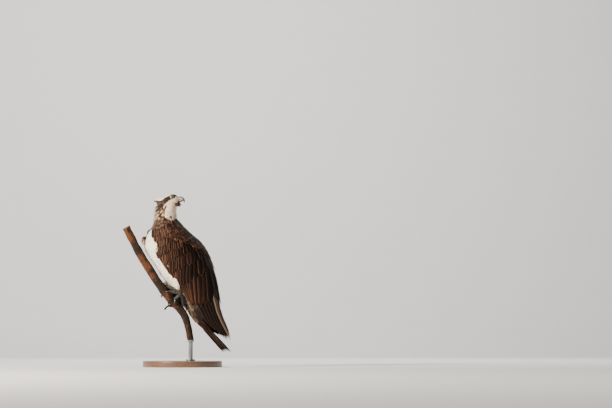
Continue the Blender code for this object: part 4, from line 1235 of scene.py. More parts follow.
def wing_feathers(side):
    """All the large feathers of a folded wing but the primaries, tier by tier along shared lines."""
    rng = np.random.default_rng(SEED + (3 if side > 0 else 4))
    starts = np.linspace(-60, 85, 29)
    heights, lines = flow_lines(starts)

    def at(h, column):
        return np.interp(-h, -heights, lines[:, column])

    for name, root_h, low_h, high_h, wide, lift, kind, rim in TIERS:
        for k in range(len(starts)):
            share = np.clip((at((root_h + low_h) / 2, k) - WING_FRONT) / WING_SPREAD, 0, 1)
            tip_h = low_h + (high_h - low_h) * share + rng.uniform(-3, 3)
            root_angle = at(root_h, k)
            if root_angle < wing_front(side, root_h) + 1:
                continue
            tip_angle = max(at(tip_h, k), wing_front(side, tip_h) + rng.uniform(-1.5, 3))
            if root_angle > 80 and name in UNDER_MANTLE:
                continue
            middle_h = (root_h + tip_h) / 2
            gap = abs(at(middle_h, k) - at(middle_h, k - 1 if k else 1))
            row = table_at(WING, middle_h)
            half = max(wide * math.radians(gap) * (row[1] + row[2]) / 2, 3.4)
            paint = wing_paint(middle_h, tip_angle)
            worn = rng.uniform(0, 1) ** 2
            yield dict(
                root=(root_h + rng.uniform(-4, 4), root_angle),
                tip=(tip_h + rng.uniform(-4, 4), tip_angle),
                half=half * rng.uniform(0.9, 1.15),
                lifts=(-4.2, lift + rng.uniform(-0.3, 0.7)),
                kind=kind,
                rim=rim * rng.uniform(0.05, 1.05),
                paint=paint,
                tip_paint=mix(paint, WARM_BROWN, 0.4),
                web=0.35 + 0.4 * worn,
                web_paint=mix(mix(paint, WARM_BROWN, 0.5), TAN, 0.16 * worn),
                tilt=1.1,
                lean=rng.uniform(-1.2, 1.2),
            )
    for angle, root_h, tip_h in TERTIALS:
        shape = dict(root=(root_h, angle + 2), tip=(tip_h, angle), half=12.5, lifts=(-3.2, 2.6), kind="blade")
        yield dict(shape, rim=0.5, paint=DARK_BROWN, tip_paint=mix(DARK_BROWN, WARM_BROWN, 0.4))


def primary_feathers(side):
    """The long feathers of the wing's tip, dark, with pale inner edges and tips on two of them."""
    rng = np.random.default_rng(SEED + (5 if side > 0 else 6))
    for k, (angle, tip_h) in enumerate(PRIMARIES):
        pale = k in PALE_PRIMARIES
        yield dict(
            root=(-100, angle + 5),
            tip=(tip_h + rng.uniform(-1.5, 1.5), angle),
            half=9.4,
            lifts=(-6.0, -1.2 + 0.34 * k),
            kind="quill",
            rim=0.8 if pale else 0.2,
            paint=mix(DARK_BROWN, BLACK_BROWN, 0.7),
            tip_paint=mix(DARK_BROWN, BUFF, 0.8 if pale else 0.0),
            web=0.9 if pale else 0.0,
            web_paint=mix(BUFF, GREY_TAN, 0.5),
            tilt=0.8,
        )


def make_wing(name, side, material):
    """The large feathers of a folded wing."""

    def place(h, angle, lift):
        return wing_point(side, h, np.minimum(angle, BACK_SEAM), lift)

    feathers = chain(wing_feathers(side), primary_feathers(side))
    return large_vanes(name, place, feathers, SEED + 20 + side, material)


# Scapulars and mantle across the back: tip H, degrees covered, half width, length, rim
MANTLE_ROWS = [
    (121, 236, 5.2, 13, 0.9),
    (109, 232, 5.8, 21, 0.95),
    (98, 222, 6.2, 22, 0.95),
    (86, 205, 6.6, 24, 0.9),
    (73, 186, 7.0, 26, 0.85),
    (59, 165, 7.4, 28, 0.8),
    (44, 145, 7.9, 31, 0.75),
    (28, 126, 8.4, 34, 0.65),
    (11, 106, 9.0, 38, 0.6),
    (-8, 86, 9.8, 43, 0.5),
    (-30, 66, 10.6, 49, 0.45),
    (-54, 46, 11.2, 54, 0.4),
    (-80, 30, 11.4, 58, 0.35),
]
MANTLE_PACKING = 1.25  # spacing of a row, in half widths


def mantle_feathers():
    """Rounded feathers with tan edges across the back and the shoulders."""
    rng = np.random.default_rng(SEED + 8)
    for tip_h, wide, half, long, rim in MANTLE_ROWS:
        size = table_at(WING, tip_h)
        count = int(math.radians(wide) * (size[1] + size[2]) / 2 / (half * MANTLE_PACKING))
        for k in range(count):
            offset = (k - (count - 1) / 2) / max(count - 1, 1)
            angle = 90 + wide * offset + rng.uniform(-1.6, 1.6)
            paint = wing_paint(tip_h, 60 - abs(angle - 90) * 0.9)
            worn = rng.uniform()
            sag = 8 * (1 - (2 * offset) ** 2)
            yield dict(
                root=(tip_h + long + rng.uniform(-2, 2), angle - (angle - 90) * 0.10),
                tip=(tip_h + rng.uniform(-3, 3) - sag, angle + rng.uniform(-1.5, 1.5)),
                half=half * rng.uniform(0.85, 1.15),
                lifts=(-3.0, 2.0 + rng.uniform(-0.4, 0.9)),
                kind="scale",
                rim=rim * rng.uniform(0.35, 1.0),
                paint=paint,
                tip_paint=mix(paint, mix(WARM_BROWN, TAN, 0.4 * worn), 0.7),
                tilt=0.25 if angle > 90 else -0.25,
                arch=1.1,
                lean=rng.uniform(-1.0, 1.0),
            )


def over_back(h, angle, lift):
    """Points over the back and both wings."""
    return wing_point(1, h, angle, lift)


TAIL_PAIRS, TAIL_ROOT_H, TAIL_TIP_H = 6, -165.0, -350.0
TAIL_STEP, TAIL_LEVEL = 5.8, 0.98
TAIL_SLANT, TAIL_ROOT_SHARE = 0.14, 0.4


def tail_point(h, across, lift):
    """Points over the tail, which is a little arched across."""
    middle = table_at(TAIL_MIDDLE_D, h)[..., 0]
    return bird(h, middle + lift - 0.006 * np.asarray(across) ** 2, across)


def undertail_point(h, across, lift):
    """Points under the tail's core, lift in millimetres away from it."""
    row = table_at(TAIL_CORE, np.maximum(h, -216))
    reach = np.minimum(np.abs(across) / row[..., 3], 0.95)
    past = np.maximum(0.0, -216 - h)
    return bird(h, row[..., 0] + past * 0.42 - (row[..., 2] + lift) * np.sqrt(1 - reach**2), across)


def tail_feathers():
    """Twelve tail feathers, the middle pair on top, dark with warmer outer webs."""
    for i in range(TAIL_PAIRS):
        for way in (1, -1):
            across = way * (2.0 + TAIL_STEP * i)
            height = 2.0 - (i + 1 if i else int(way < 0)) * TAIL_LEVEL
            yield dict(
                root=(TAIL_ROOT_H, across * TAIL_ROOT_SHARE),
                tip=(TAIL_TIP_H + TAIL_SLANT * across + 1.2 * i, across),
                half=7.4 if i else 9.6,
                lifts=(height, height),
                kind="quill",
                rim=0.35,
                paint=mix(DARK_BROWN, WARM_BROWN, 0.7 if i > 3 else 0.1),
                tip_paint=mix(DARK_BROWN, BLACK_BROWN, 0.6),
                web=0.6 if i > 4 else 0.0,
                web_paint=mix(WARM_BROWN, TAN, 0.3),
                tilt=0.0,
                arch=0.15,
            )


def plumes(rows, paints, tip_paint, seed):
    """Soft plumes under the tail, each between two colours, which are painted shade under the body and tail.
    """
    rng = np.random.default_rng(seed)
    for tip_h, count, reach, long, half in rows:
        for across in np.linspace(-reach, reach, count):
            yield dict(
                root=(tip_h + long, across * 0.9),
                tip=(tip_h + rng.uniform(-5, 5), across + rng.uniform(-1.5, 1.5)),
                half=half * rng.uniform(0.8, 1.2),
                lifts=(-3.0, 1.2 + rng.uniform(-0.5, 0.8)),
                kind="blade",
                rim=0.45 * rng.uniform(0, 1),
                paint=mix(paints[0], paints[1], rng.uniform(0, 1) ** 1.5),
                tip_paint=mix(paints[1], tip_paint, rng.uniform(0, 0.75)),
                tilt=0.2,
                arch=0.8,
            )


# Rows under the tail: H of the tips, feathers, reach to each side, length, half width
UNDERTAIL_SHADE_ROWS = [(-230, 7, 14, 44, 5.0), (-246, 5, 9, 46, 5.0)]
UNDERTAIL_ROWS = [(-136, 15, 30, 30, 3.0), (-152, 15, 27, 32, 2.9), (-168, 14, 24, 34, 2.8)]
UNDERTAIL_ROWS += [(-184, 12, 20, 36, 2.7), (-197, 10, 16, 38, 2.6), (-208, 8, 11, 40, 2.4)]


# Head parts


def eye_axes(side):
    """Right-handed axes of an eye, the last one looking out of the head."""
    out = (
        HEAD_FORWARD * math.sin(EYE_FORWARD) + HEAD_LEFT * side * math.cos(EYE_FORWARD)
    ) * math.cos(EYE_UP) + HEAD_UP * math.sin(EYE_UP)
    across = unit(np.cross(HEAD_UP, out))
    return across, np.cross(out, across), out


def eye_centre(side):
    """The middle of an eyeball."""
    return head_point(EYE_CENTRE[0], side * EYE_CENTRE[1], EYE_CENTRE[2])


# Edges of the eye's rings, in degrees from where it looks
PUPIL, IRIS, IRIS_EDGE = 21.0, 39.0, 45.0


def eye_material():
    """Olive-yellow iris with spokes round a black pupil, a dark outer ring and a wet surface."""
    n = Nodes("eye")
    n.set("Roughness", 0.25)
    n.set("Coat Weight", 0.6)
    n.set("Coat Roughness", 0.04)
    polar = n.attribute("polar")
    spokes = n.noise(26.0, 3.0, n.attribute("spoke", "Vector"))
    iris = n.blend(spokes, (0.20, 0.13, 0.010), (0.62, 0.44, 0.04))
    iris = n.blend(n.span(polar, PUPIL, IRIS, 0.35, 0.0), iris, (0.20, 0.10, 0.01))
    colour = n.blend(n.span(polar, PUPIL - 0.8, PUPIL + 0.8), PUPIL_BLACK, iris)
    colour = n.blend(n.span(polar, IRIS, IRIS_EDGE), colour, (0.012, 0.009, 0.008))
    return n.finish(colour)


def make_eye(name, side, material):
    """An eyeball with a slight cornea, looking out of the head."""
    across, up, out = eye_axes(side)
    sides = 48
    degrees = np.concatenate([np.linspace(0.5, 60, 40), np.linspace(64, 178, 22)])
    polar = np.radians(degrees)
    bulge = EYE_RADIUS - 0.35 + 0.75 * bell(degrees, 0, 34)
    centres = eye_centre(side) + (bulge * np.cos(polar))[:, None] * out
    points, faces = tube(round_section(centres, bulge * np.sin(polar), across, up, sides))
    degrees = on_tube(degrees, sides, 0, 180)
    turn = np.concatenate([np.tile(circle(sides), len(polar)), [0, 0]])
    spoke = np.stack([np.cos(turn), np.sin(turn), degrees / 160], -1)
    return make_mesh(name, points, faces, material, {"polar": degrees, "spoke": spoke})


def ring_piece(name, points, radii, sides, material):
    """A closed loop with a round section."""
    along = unit(np.roll(points, -1, axis=0) - np.roll(points, 1, axis=0))
    side = flattened(unit(points - points.mean(0)), along)
    rings = round_section(points, radii, side, np.cross(along, side), sides)
    at = np.arange(len(points) * sides).reshape(-1, sides)
    following, up = np.roll(at, -1, axis=1), np.roll(at, -1, axis=0)
    both = np.roll(following, -1, axis=0)
    return make_mesh(name, rings.reshape(-1, 3), quads(at, up, both, following), material)


def make_lids(name, side, material):
    """The bare dark rim of the eye's opening, almond shaped, thicker above."""
    across, up, out = eye_axes(side)
    a = circle(56)
    flat = across * (EYE_WIDE * np.cos(a))[:, None] + up * (EYE_TALL * np.sin(a))[:, None]
    depth = np.sqrt(np.maximum((EYE_RADIUS + 0.1) ** 2 - (flat**2).sum(1), 0.1))
    line = eye_centre(side) + flat + out * depth[:, None]
    return ring_piece(name, line, 1.15 + 0.45 * np.maximum(np.sin(a), 0), 10, material)


def bill_material(name, pale, root_side):
    """Horn that is black towards the tip, with faint growth lines, and a soft root that is greyer on top; on
    the upper bill the root's pale sides are painted light.
    """
    n = Nodes(name)
    n.set("Coat Weight", 0.25)
    n.set("Coat Roughness", 0.25)
    fine = n.noise(500.0, 4.0)
    lines = n.noise(60.0, 3.0, n.stretched((1.0, 1.0, 8.0)))
    horn = n.blend(n.span(lines, 0.35, 0.7), HORN_BLACK, pale)
    soft = n.blend(fine, tuple(c * 0.7 for c in root_side), root_side)
    soft = n.blend(n.span(n.attribute("crest"), -0.25, 0.45), soft, (0.115, 0.118, 0.108))
    edge = n.vary(n.attribute("reach"), fine, 0.08)
    colour = n.blend(n.span(edge, 0.48, 0.64), soft, horn)
    rough = n.span(edge, 0.48, 0.64, 0.55, 0.28)
    return n.finish(colour, rough, n.bump(fine, 0.35, 0.3))


def make_upper_bill(material):
    """The hooked upper bill with its ridge, cutting edge and nostrils."""
    rows, sides = smooth_line(UPPER_BILL, 60), 40
    centre = rows[:, :2]
    turn = unit(np.gradient(centre, axis=0))
    turn[:3] = (1, 0)
    a = circle(sides)
    c, s = np.cos(a), np.sin(a)
    ridge = 1 + 0.05 * bell(a, math.pi / 2, 0.22)
    flat = np.where(s < -0.55, 0.80, 1.0)
    tall = rows[:, 2:3] * s * ridge * flat
    wide = rows[:, 3:4] * np.sign(c) * np.abs(c) ** 0.85
    x = centre[:, 0:1] - turn[:, 1:2] * tall
    z = centre[:, 1:2] + turn[:, 0:1] * tall
    near = bell(x, NOSTRIL_CENTRE[0], 1.7) * bell(z, NOSTRIL_CENTRE[2], 1.1)
    points, faces = tube(head_point(x, wide * (1 - 0.24 * near), z))
    reach = on_tube(np.linspace(0, 1, len(rows)), sides, 0, 1)
    crest = np.concatenate([np.tile(s, len(rows)), [0, 0]])
    return make_mesh("bill_upper_horn", points, faces, material, {"reach": reach, "crest": crest}, sharp=50)


def make_lower_bill(material):
    """The lower bill, dark all over."""
    rows, sides = smooth_line(LOWER_BILL, 30), 32
    a = circle(sides)
    middle, tall = (rows[:, 1:2] + rows[:, 2:3]) / 2, (rows[:, 1:2] - rows[:, 2:3]) / 2
    points, faces = tube(head_point(rows[:, 0:1], rows[:, 3:4] * np.cos(a), middle + tall * np.sin(a)))
    reach = on_tube(np.linspace(0.2, 1, len(rows)), sides, 0.2, 1)
    shares = {"reach": reach, "crest": reach * 0}
    return make_mesh("bill_lower_horn", points, faces, material, shares, sharp=50)


# Perch, feet and stand


def perch_frame(h):
    """Centre, radius and the directions up the branch, towards its back and towards the bird's left, at H."""
    d, radius = table_at(PERCH_ROUTE, h)
    ahead, behind = table_at(PERCH_ROUTE, h + 4), table_at(PERCH_ROUTE, h - 4)
    along = unit(bird(h + 4, ahead[0], 0) - bird(h - 4, behind[0], 0))
    back = np.cross(LEFTWARDS, along)
    if back @ BACKWARDS < 0:
        back = -back
    return bird(h, d, 0), radius, along, back, LEFTWARDS


def on_perch(side, h, angle, lift):
    """A point over the branch: angle in degrees round it from its back towards the given side."""
    centre, radius, _, back, left = perch_frame(h)
    a = math.radians(angle)
    return centre + (back * math.cos(a) + left * side * math.sin(a)) * (radius + lift)


def bark_material():
    """Dead wood: warm brown fibres with dark weathered patches, long cracks and a few pale chips."""
    n = Nodes("bark")
    n.set("Specular IOR Level", 0.2)
    given = {"Vector": n.attribute("grain", "Vector"), "Scale": (26.0, 26.0, 1.6)}
    fibres = n.noise(1.0, 5.0, n.put("ShaderNodeMapping", given).outputs[0], 0.6)
    patches = n.noise(22.0, 4.0)
    colour = n.blend(fibres, (0.045, 0.015, 0.007), (0.19, 0.070, 0.026))
    colour = n.blend(n.span(patches, 0.40, 0.54), colour, (0.026, 0.014, 0.010))
    colour = n.blend(n.span(fibres, 0.40, 0.52), (0.012, 0.006, 0.004), colour)
    colour = n.blend(n.span(n.noise(160.0), 0.64, 0.76), colour, (0.20, 0.13, 0.085))
    height = n.line(patches, 0.6, fibres)
    return n.finish(colour, n.span(fibres, 0.3, 0.7, 0.95, 0.75), n.bump(height, 0.8, 1.2))


def end_material():
    """Sawn wood with growth rings."""
    n = Nodes("cut_end")
    wave = n.line(n.noise(60.0), 1.6, n.attribute("ring"))
    wave = n.math("SINE", n.math("MULTIPLY", wave, 4.2))
    colour = n.blend(n.line(wave, 0.5, 0.5), (0.36, 0.22, 0.12), (0.55, 0.38, 0.23))
    colour = n.blend(n.span(n.noise(300.0, 2.0), 0.5, 0.8), colour, (0.25, 0.14, 0.07))
    return n.finish(colour, None, n.bump(wave, 0.3, 0.3))


def bark_relief(points, along, angle, seed):
    """How far the bark stands out, in millimetres: long ridges, knots and flakes."""
    grain = np.stack([np.cos(angle) * 2.6, np.sin(angle) * 2.6, along * 0.045], -1)
    ridges = np.array([noise.noise(Vector(g) + Vector((seed, 0, 0))) for g in grain])
    fine = np.array([noise.noise(Vector(g) * 2.7 + Vector((0, seed, 0))) for g in grain])
    return ridges + 0.7 * fine + 1.4 * noise_at(points, 22.0, seed)


def branch_rings(centres, radii, sides, seed):
    """Rings of a branch with bark relief, close to the named radii, and where its points lie in the grain."""
    out = round_rings(centres, np.ones(len(centres)), sides, start=LEFTWARDS) - centres[:, None]
    along, angle = np.broadcast_arrays(length_along(centres)[:, None], circle(sides))
    flat = (centres[:, None] + out * deep(radii)).reshape(-1, 3)
    relief = bark_relief(flat, along.ravel(), angle.ravel(), seed).reshape(angle.shape)
    rings = centres[:, None] + out * (deep(radii) - 0.5 + relief[..., None])
    return rings, np.stack([np.cos(angle), np.sin(angle), along * 0.03], -1)


def branch_piece(name, rings, grain, material):
    """A closed length of branch."""
    points, faces = tube(rings)
    grain = np.concatenate([grain.reshape(-1, 3), grain[:1].mean(1), grain[-1:].mean(1)])
    return make_mesh(name, points, faces, material, {"grain": grain})


def make_perch():
    """The cut branch with its bark, the stub of a broken twig, and the sawn upper end."""
    bark = bark_material()
    rows = smooth_line(PERCH_ROUTE, 260)
    centres = bird(rows[:, 0], rows[:, 1], 0)
    keep = centres[:, 2] > PERCH_CUT_Z - 12
    # Above the feet the bark is a little thicker than the solid branch, and lies nearer to the belly
    above = ramp(rows[keep, 0], -10, 30)
    centres = centres[keep] + BACKWARDS * (BARK_NEARER * above)[:, None]
    radii = rows[keep, 2] + BARK_EXTRA * above
    rings, grain = branch_rings(centres, radii, 64, 3)
    whole = (rings[..., 2] >= PERCH_CUT_Z).any(1)
    first = max(int(np.argmax(whole)) - 1, 0)
    rings, grain = rings[first:], grain[first:]
    rings[..., 2] = np.maximum(rings[..., 2], PERCH_CUT_Z)
    branch = branch_piece("perch_bark", rings, grain, bark)
    stub = smooth_line(STUB_ROUTE, 40)
    stub_radii = np.interp(np.linspace(0, 3, 40), [0, 1, 2, 3], STUB_RADII)
    rings, grain = branch_rings(bird(*stub.T), stub_radii * 0.96, 24, 5)
    twig = branch_piece("perch_stub", rings, grain, bark)
    return branch, twig, make_cut_end(centres[-1], unit(centres[-1] - centres[-3]), radii[-1] - 1.6)


def make_cut_end(centre, along, radius):
    """A thin disc of sawn wood on the branch's upper end."""
    sides, rows = 48, 16
    side = unit(np.cross(along, UP))
    spans = radius * np.concatenate([np.linspace(0.02, 1, rows), [1.0]])
    heights = np.concatenate([np.full(rows, 0.5), [-1.0]])
    rings = round_section(centre + along * heights[:, None], spans, side, np.cross(along, side), sides)
    points, faces = tube(rings)
    ring = on_tube(spans, sides, 0, radius)
    return make_mesh("perch_end_top", points, faces, end_material(), {"ring": ring}, sharp=40)


def foot_material():
    """Scaly skin, near black as painted shade on the feet, and darker between the scutes."""
    n = Nodes("foot_skin")
    given = {"Scale": 520.0, "Vector": n.position()}
    scales = n.put("ShaderNodeTexVoronoi", given, feature="DISTANCE_TO_EDGE").outputs[0]
    fine = n.noise(300.0)
    # Painted shade: both skin colours are near black, standing in for the shade on the feet.
    colour = n.blend(n.span(scales, 0.0, 0.10), (0.005, 0.004, 0.0035), (0.028, 0.022, 0.018))
    colour = n.blend(n.span(fine, 0.5, 0.75), colour, (0.020, 0.012, 0.008))
    bump = n.bump(n.span(scales, 0.0, 0.2), 0.6, 0.4)
    return n.finish(colour, n.line(fine, 0.3, 0.4), bump)


def claw_material():
    """Black horn with faint lines, also for the lids."""
    n = Nodes("claw")
    n.set("Coat Weight", 0.3)
    fine = n.noise(200.0, 4.0, n.stretched((1.0, 1.0, 4.0)))
    colour = n.blend(fine, (0.008, 0.008, 0.009), (0.035, 0.032, 0.030))
    return n.finish(colour, n.line(fine, 0.3, 0.15), n.bump(fine, 0.2, 0.15))


def spaced(values, count):
    """count values along a row of values, in straight steps."""
    return np.interp(np.linspace(0, len(values) - 1, count), np.arange(len(values)), values)


def ankle_place(side):
    """Where the toes of a foot meet its shank."""
    return bird(ANKLE[0], ANKLE[1], side * ANKLE[2])


TOE_CLEAR = 0.6  # gap between a toe and the branch, for the bark
CLAW_BOW = [(-0.1, 5.0), (0.25, 6.6), (0.5, 6.4), (0.75, 4.6), (1.0, 1.6)]  # share of its length, lift
SCUTE_STEP, PAD_STEP = 3.4, 11.0


def toe_parts(side, ball_h, ball_angle, claw_angle, claw_h):
    """A toe with scutes on top and pads below, and its claw."""
    ankle = ankle_place(side)
    rest = on_perch(side, ball_h, ball_angle, TOE_RADIUS + TOE_CLEAR)
    knuckle = (ankle + rest) / 2 + (ankle - perch_frame((ball_h + ANKLE[0]) / 2)[0]) * 0.10
    pad_h = ball_h + (ball_h - ANKLE[0]) * 0.18
    pad_angle = ball_angle + (claw_angle - ball_angle) * 0.25
    pad = on_perch(side, pad_h, pad_angle, TOE_TIP_RADIUS + TOE_CLEAR)
    line = smooth_line([ankle, knuckle, rest, pad], 44)
    length = length_along(line)
    radii = spaced([7.2, 6.2, TOE_RADIUS, TOE_TIP_RADIUS], 44) - 0.1
    radii = radii + 0.28 * np.sin(length * 2 * math.pi / SCUTE_STEP)
    radii = radii + 0.35 * np.cos(length * 2 * math.pi / PAD_STEP)
    radii[-3:] *= (0.96, 0.85, 0.6)
    claw_line = [
        on_perch(side, pad_h + (claw_h - pad_h) * t, pad_angle + (claw_angle - pad_angle) * t, lift)
        for t, lift in CLAW_BOW
    ]
    claw = round_rings(smooth_line(claw_line, 32), spaced([3.2, 3.0, 2.4, 1.5, 0.3], 32), 16)
    return tube(round_rings(line, radii, 20)), tube(claw)


def make_foot(name, side, skin_look, claw_look):
    """A foot with its shank and four toes, and its claws as a piece of their own."""
    top = thigh_line(side, 14)[0][-1] + HEADWARDS * 8
    ankle = ankle_place(side)
    line = smooth_line([top, (top + ankle) / 2, ankle, ankle + (ankle - top) * 0.22], 40)
    radii = spaced([SHANK_RADIUS, SHANK_RADIUS + 0.4, 8.0, 3.5], 40) + 0.2 * np.sin(np.linspace(0, 40, 40))
    toes = [toe_parts(side, *toe) for toe in (NEAR_TOES if side > 0 else FAR_TOES)]
    flesh = [tube(round_rings(line, radii, 24))] + [toe for toe, _ in toes]
    foot = make_mesh(name + "_skin", *join(flesh), skin_look, sharp=80)
    return foot, make_mesh(name + "_claws", *join([claw for _, claw in toes]), claw_look, sharp=80)


def wood_material():
    """Dark oiled wood with long grain across the base."""
    n = Nodes("base_wood")
    n.set("Coat Weight", 0.35)
    n.set("Coat Roughness", 0.22)
    grain = n.noise(9.0, 6.0, n.stretched((1.0, 14.0, 14.0)), 0.62)
    pores = n.noise(70.0, 3.0, n.stretched((1.0, 16.0, 16.0)))
    colour = n.blend(grain, (0.040, 0.017, 0.009), (0.22, 0.105, 0.050))
    colour = n.blend(n.span(pores, 0.58, 0.66), colour, (0.018, 0.008, 0.005))
    return n.finish(colour, n.span(pores, 0.4, 0.7, 0.32, 0.5), n.bump(pores, 0.25, 0.15))


def steel_material():
    """Brushed steel."""
    n = Nodes("rod_steel")
    n.set("Metallic", 1.0)
    n.set("Anisotropic", 0.4)
    brush = n.noise(300.0, 2.0, n.stretched((0.2, 0.2, 6.0)))
    colour = n.blend(brush, (0.20, 0.20, 0.21), (0.34, 0.34, 0.35))
    return n.finish(colour, n.line(brush, 0.22, 0.20), n.bump(brush, 0.15, 0.05))


def lathe(name, profile, centre, material, sides, sharp=35):
    """A turned piece about +Z."""
    radius, z = (column[:, None] for column in np.array(profile, float).T)
    a = circle(sides)
    x, y = centre[0] + radius * np.cos(a), centre[1] + radius * np.sin(a)
    return make_mesh(name, *tube(np.stack([x, y, np.broadcast_to(z, x.shape)], -1)), material, sharp=sharp)


def rounded(radius, z, corner, start, end, steps):
    """Profile points of a rounded corner about (radius, z)."""
    a = np.radians(np.linspace(start, end, steps))
    return [(radius + corner * math.cos(b), z + corner * math.sin(b)) for b in a]


LOW_EASE, HIGH_EASE = 1.0, 3.0  # the base's rounded edges
COLLAR_EASE, ROD_FILLET, ROD_GAP = 0.8, 2.0, 0.3


def make_stand():
    """The base with eased edges, and the rod with its collar and its cap."""
    profile = [(BASE_RADIUS - LOW_EASE, 0.0)]
    profile += rounded(BASE_RADIUS - LOW_EASE, LOW_EASE, LOW_EASE, -90, 0, 4)
    profile += rounded(BASE_RADIUS - HIGH_EASE, BASE_HEIGHT - HIGH_EASE, HIGH_EASE, 0, 90, 8)
    profile += [(radius, BASE_HEIGHT) for radius in (BASE_RADIUS * 0.5, 20.0, 0.5)]
    base = lathe("base_turned", profile, (0, 0), wood_material(), 160)
    low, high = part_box("stand_rod")
    foot = ((low[0] + high[0]) / 2 / MM, (low[1] + high[1]) / 2 / MM)
    floor, top = BASE_HEIGHT + ROD_GAP, PERCH_CUT_Z - ROD_GAP
    collar_top, cap_foot, fillet = floor + COLLAR_HEIGHT, top - COLLAR_HEIGHT, ROD_RADIUS + ROD_FILLET
    profile = [(COLLAR_RADIUS - 0.5, floor)]
    profile += rounded(COLLAR_RADIUS - COLLAR_EASE, collar_top - COLLAR_EASE, COLLAR_EASE, 0, 90, 5)
    profile += rounded(fillet, collar_top + ROD_FILLET, ROD_FILLET, 270, 180, 6)
    profile += rounded(fillet, cap_foot - ROD_FILLET, ROD_FILLET, 180, 90, 6)
    profile += rounded(CAP_RADIUS - COLLAR_EASE, cap_foot + COLLAR_EASE, COLLAR_EASE, -90, 0, 5)
    profile += [(CAP_RADIUS, top)]
    rod = lathe("rod_turned", profile, foot, steel_material(), 64)
    return base, rod


# Camera, light and floor


def make_camera():
    """The camera at the photo's viewing angle."""
    data = bpy.data.cameras.new("camera")
    data.lens, data.sensor_width = CAMERA_LENS, CAMERA_SENSOR
    data.clip_end = 50
    camera = bpy.data.objects.new("camera", data)
    camera.location = CAMERA_PLACE
    camera.rotation_euler = (math.radians(90) + CAMERA_PITCH, 0, -CAMERA_YAW)
    bpy.context.scene.collection.objects.link(camera)
    bpy.context.scene.camera = camera


def area_light(name, size, power, colour, place, target):
    """A round soft light that shines at a target."""
    data = bpy.data.lights.new(name, "AREA")
    data.shape, data.size, data.energy, data.color = "DISK", size, power, colour
    light = bpy.data.objects.new(name, data)
    light.location = place
    light.rotation_euler = (Vector(target) - Vector(place)).to_track_quat("-Z", "Y").to_euler()
    bpy.context.scene.collection.objects.link(light)


# Lights: size, power, colour, place and target, in metres
LIGHTS = {
    "key": (0.6, 430, (1.0, 0.90, 0.76), (-2.8, -2.3, 1.7), (0.0, 0.0, 0.35)),
    "fill": (2.4, 16, (0.86, 0.93, 1.0), (2.8, -3.4, 1.4), (0.0, 0.0, 0.35)),
    "back": (1.6, 30, (1.0, 0.98, 0.95), (1.8, 2.4, 2.6), (0.0, 0.0, 0.35)),
    "backdrop": (3.0, 165, (1.0, 0.99, 0.97), (0.0, 1.6, 3.4), (0.3, 5.4, 0.8)),
}
SKY_COLOUR, SKY_POWER = (0.80, 0.86, 0.95, 1), 0.30
# The floor, in metres: its near edge, where it bends up, the bend's radius, its top and half its width
FLOOR_NEAR, FLOOR_BEND, FLOOR_RADIUS, FLOOR_TOP, FLOOR_HALF = -9.0, 4.0, 1.5, 7.0, 12.0


def make_studio():
    """A pale floor that curves up into a backdrop, and soft light with its key from the photo's side."""
    n = Nodes("studio_floor")
    fine = n.noise(6.0, 4.0)
    n.finish(n.blend(fine, (0.78, 0.78, 0.77), (0.82, 0.82, 0.81)), n.line(fine, 0.1, 0.8))
    profile = [(FLOOR_NEAR, 0.0), (FLOOR_BEND, 0.0)]
    profile += rounded(FLOOR_BEND, FLOOR_RADIUS, FLOOR_RADIUS, -81, 0, 10)
    profile += [(FLOOR_BEND + FLOOR_RADIUS, FLOOR_TOP)]
    points = np.array([(x, y, z) for y, z in profile for x in (-FLOOR_HALF, FLOOR_HALF)]) / MM
    at = np.arange(len(points)).reshape(-1, 2)
    faces = quads(at[:-1, 0], at[:-1, 1], at[1:, 1], at[1:, 0])
    floor = make_mesh("floor", points, faces, n.material, sharp=0)
    for name, given in LIGHTS.items():
        area_light(name, *given)
    world = bpy.data.worlds.new("studio")
    world.use_nodes = True
    sky = world.node_tree.nodes["Background"]
    sky.inputs["Color"].default_value = SKY_COLOUR
    sky.inputs["Strength"].default_value = SKY_POWER
    bpy.context.scene.world = world


def ride(obj, slot, *nodes):
    """Rides the piece on the one body, and hides the parts that it stands for; slot is not used."""
    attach(obj, "root")
    if nodes:
        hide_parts(*nodes)


make_camera()
make_studio()

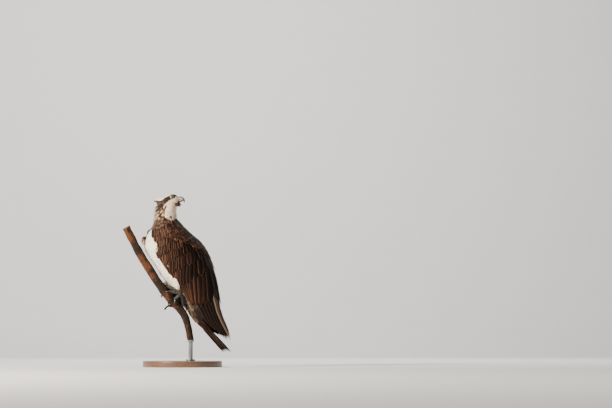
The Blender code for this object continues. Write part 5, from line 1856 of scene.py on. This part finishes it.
skin, skin_net = make_skin()
flesh = ("torso", "neck", "head", "thigh_left", "thigh_right", "wing_left", "wing_right", "tail")
ride(skin, "body_plumage", *flesh)
COAT_SLOTS = {
    "coat_neck": "neck_plumage",
    "coat_face": "head_plumage",
    "coat_head": "head_plumage",
    "coat_chin": "head_plumage",
}
for piece in make_coat(skin_net):
    ride(piece, COAT_SLOTS.get(piece.name, "body_plumage"))
ride(make_nape(), "neck_plumage")
ride(make_chin_tufts(), "head_plumage")

wing_look = plumage("wing_feathers", 1.3, 0.14, 0.0, (0.25, 1.20), 0.6)
soft_look = plumage("soft_feathers", 1.3, 0.14, 0.02, (0.25, 0.85))
for name, side in SIDES:
    ride(make_wing("wing_%s_feathers" % name, side, wing_look), "wing_plumage")
ride(large_vanes("mantle", over_back, mantle_feathers(), SEED + 9, wing_look), "wing_plumage")
ride(large_vanes("tail_feathers", tail_point, tail_feathers(), SEED + 12, wing_look), "tail_plumage")
# Painted shade: the plumes under the tail are dark brown and grey-tan, standing in for the shade under the
# body and tail.
dark = plumes(UNDERTAIL_SHADE_ROWS, (DARK_BROWN, WARM_BROWN), WARM_BROWN, SEED + 16)
ride(large_vanes("undertail_painted_shade", undertail_point, dark, SEED + 17, soft_look), "tail_plumage")
pale = plumes(UNDERTAIL_ROWS, (DARK_BROWN, mix(WARM_BROWN, GREY_TAN, 0.35)), GREY_TAN, SEED + 14)
ride(large_vanes("undertail_plumes", undertail_point, pale, SEED + 15, soft_look), "tail_plumage")

eye_look, lid_look = eye_material(), claw_material()
for name, side in SIDES:
    ride(make_eye("eyeball_" + name, side, eye_look), "eye", "eye_" + name)
for name, side in SIDES:
    ride(make_lids("lids_" + name, side, lid_look), "head_plumage")
# Painted light: the pale yellowish sides of the upper bill's root stand in for light on the bill's side.
upper_look = bill_material("bill_upper", (0.05, 0.045, 0.04), (0.50, 0.38, 0.21))
lower_look = bill_material("bill_lower", (0.03, 0.025, 0.02), (0.020, 0.014, 0.011))
ride(make_upper_bill(upper_look), "bill", "bill_upper")
ride(make_lower_bill(lower_look), "bill", "bill_lower")

foot_look, claw_look = foot_material(), claw_material()
for name, side in SIDES:
    foot, talons = make_foot("foot_" + name, side, foot_look, claw_look)
    ride(foot, "foot_skin", "foot_" + name)
    ride(talons, "bill")
branch, twig, cut_end = make_perch()
ride(branch, "bark", "perch")
ride(twig, "bark")
ride(cut_end, "bark")
base, rod = make_stand()
ride(base, "base_wood", "stand_base")
ride(rod, "rod_steel", "stand_rod")
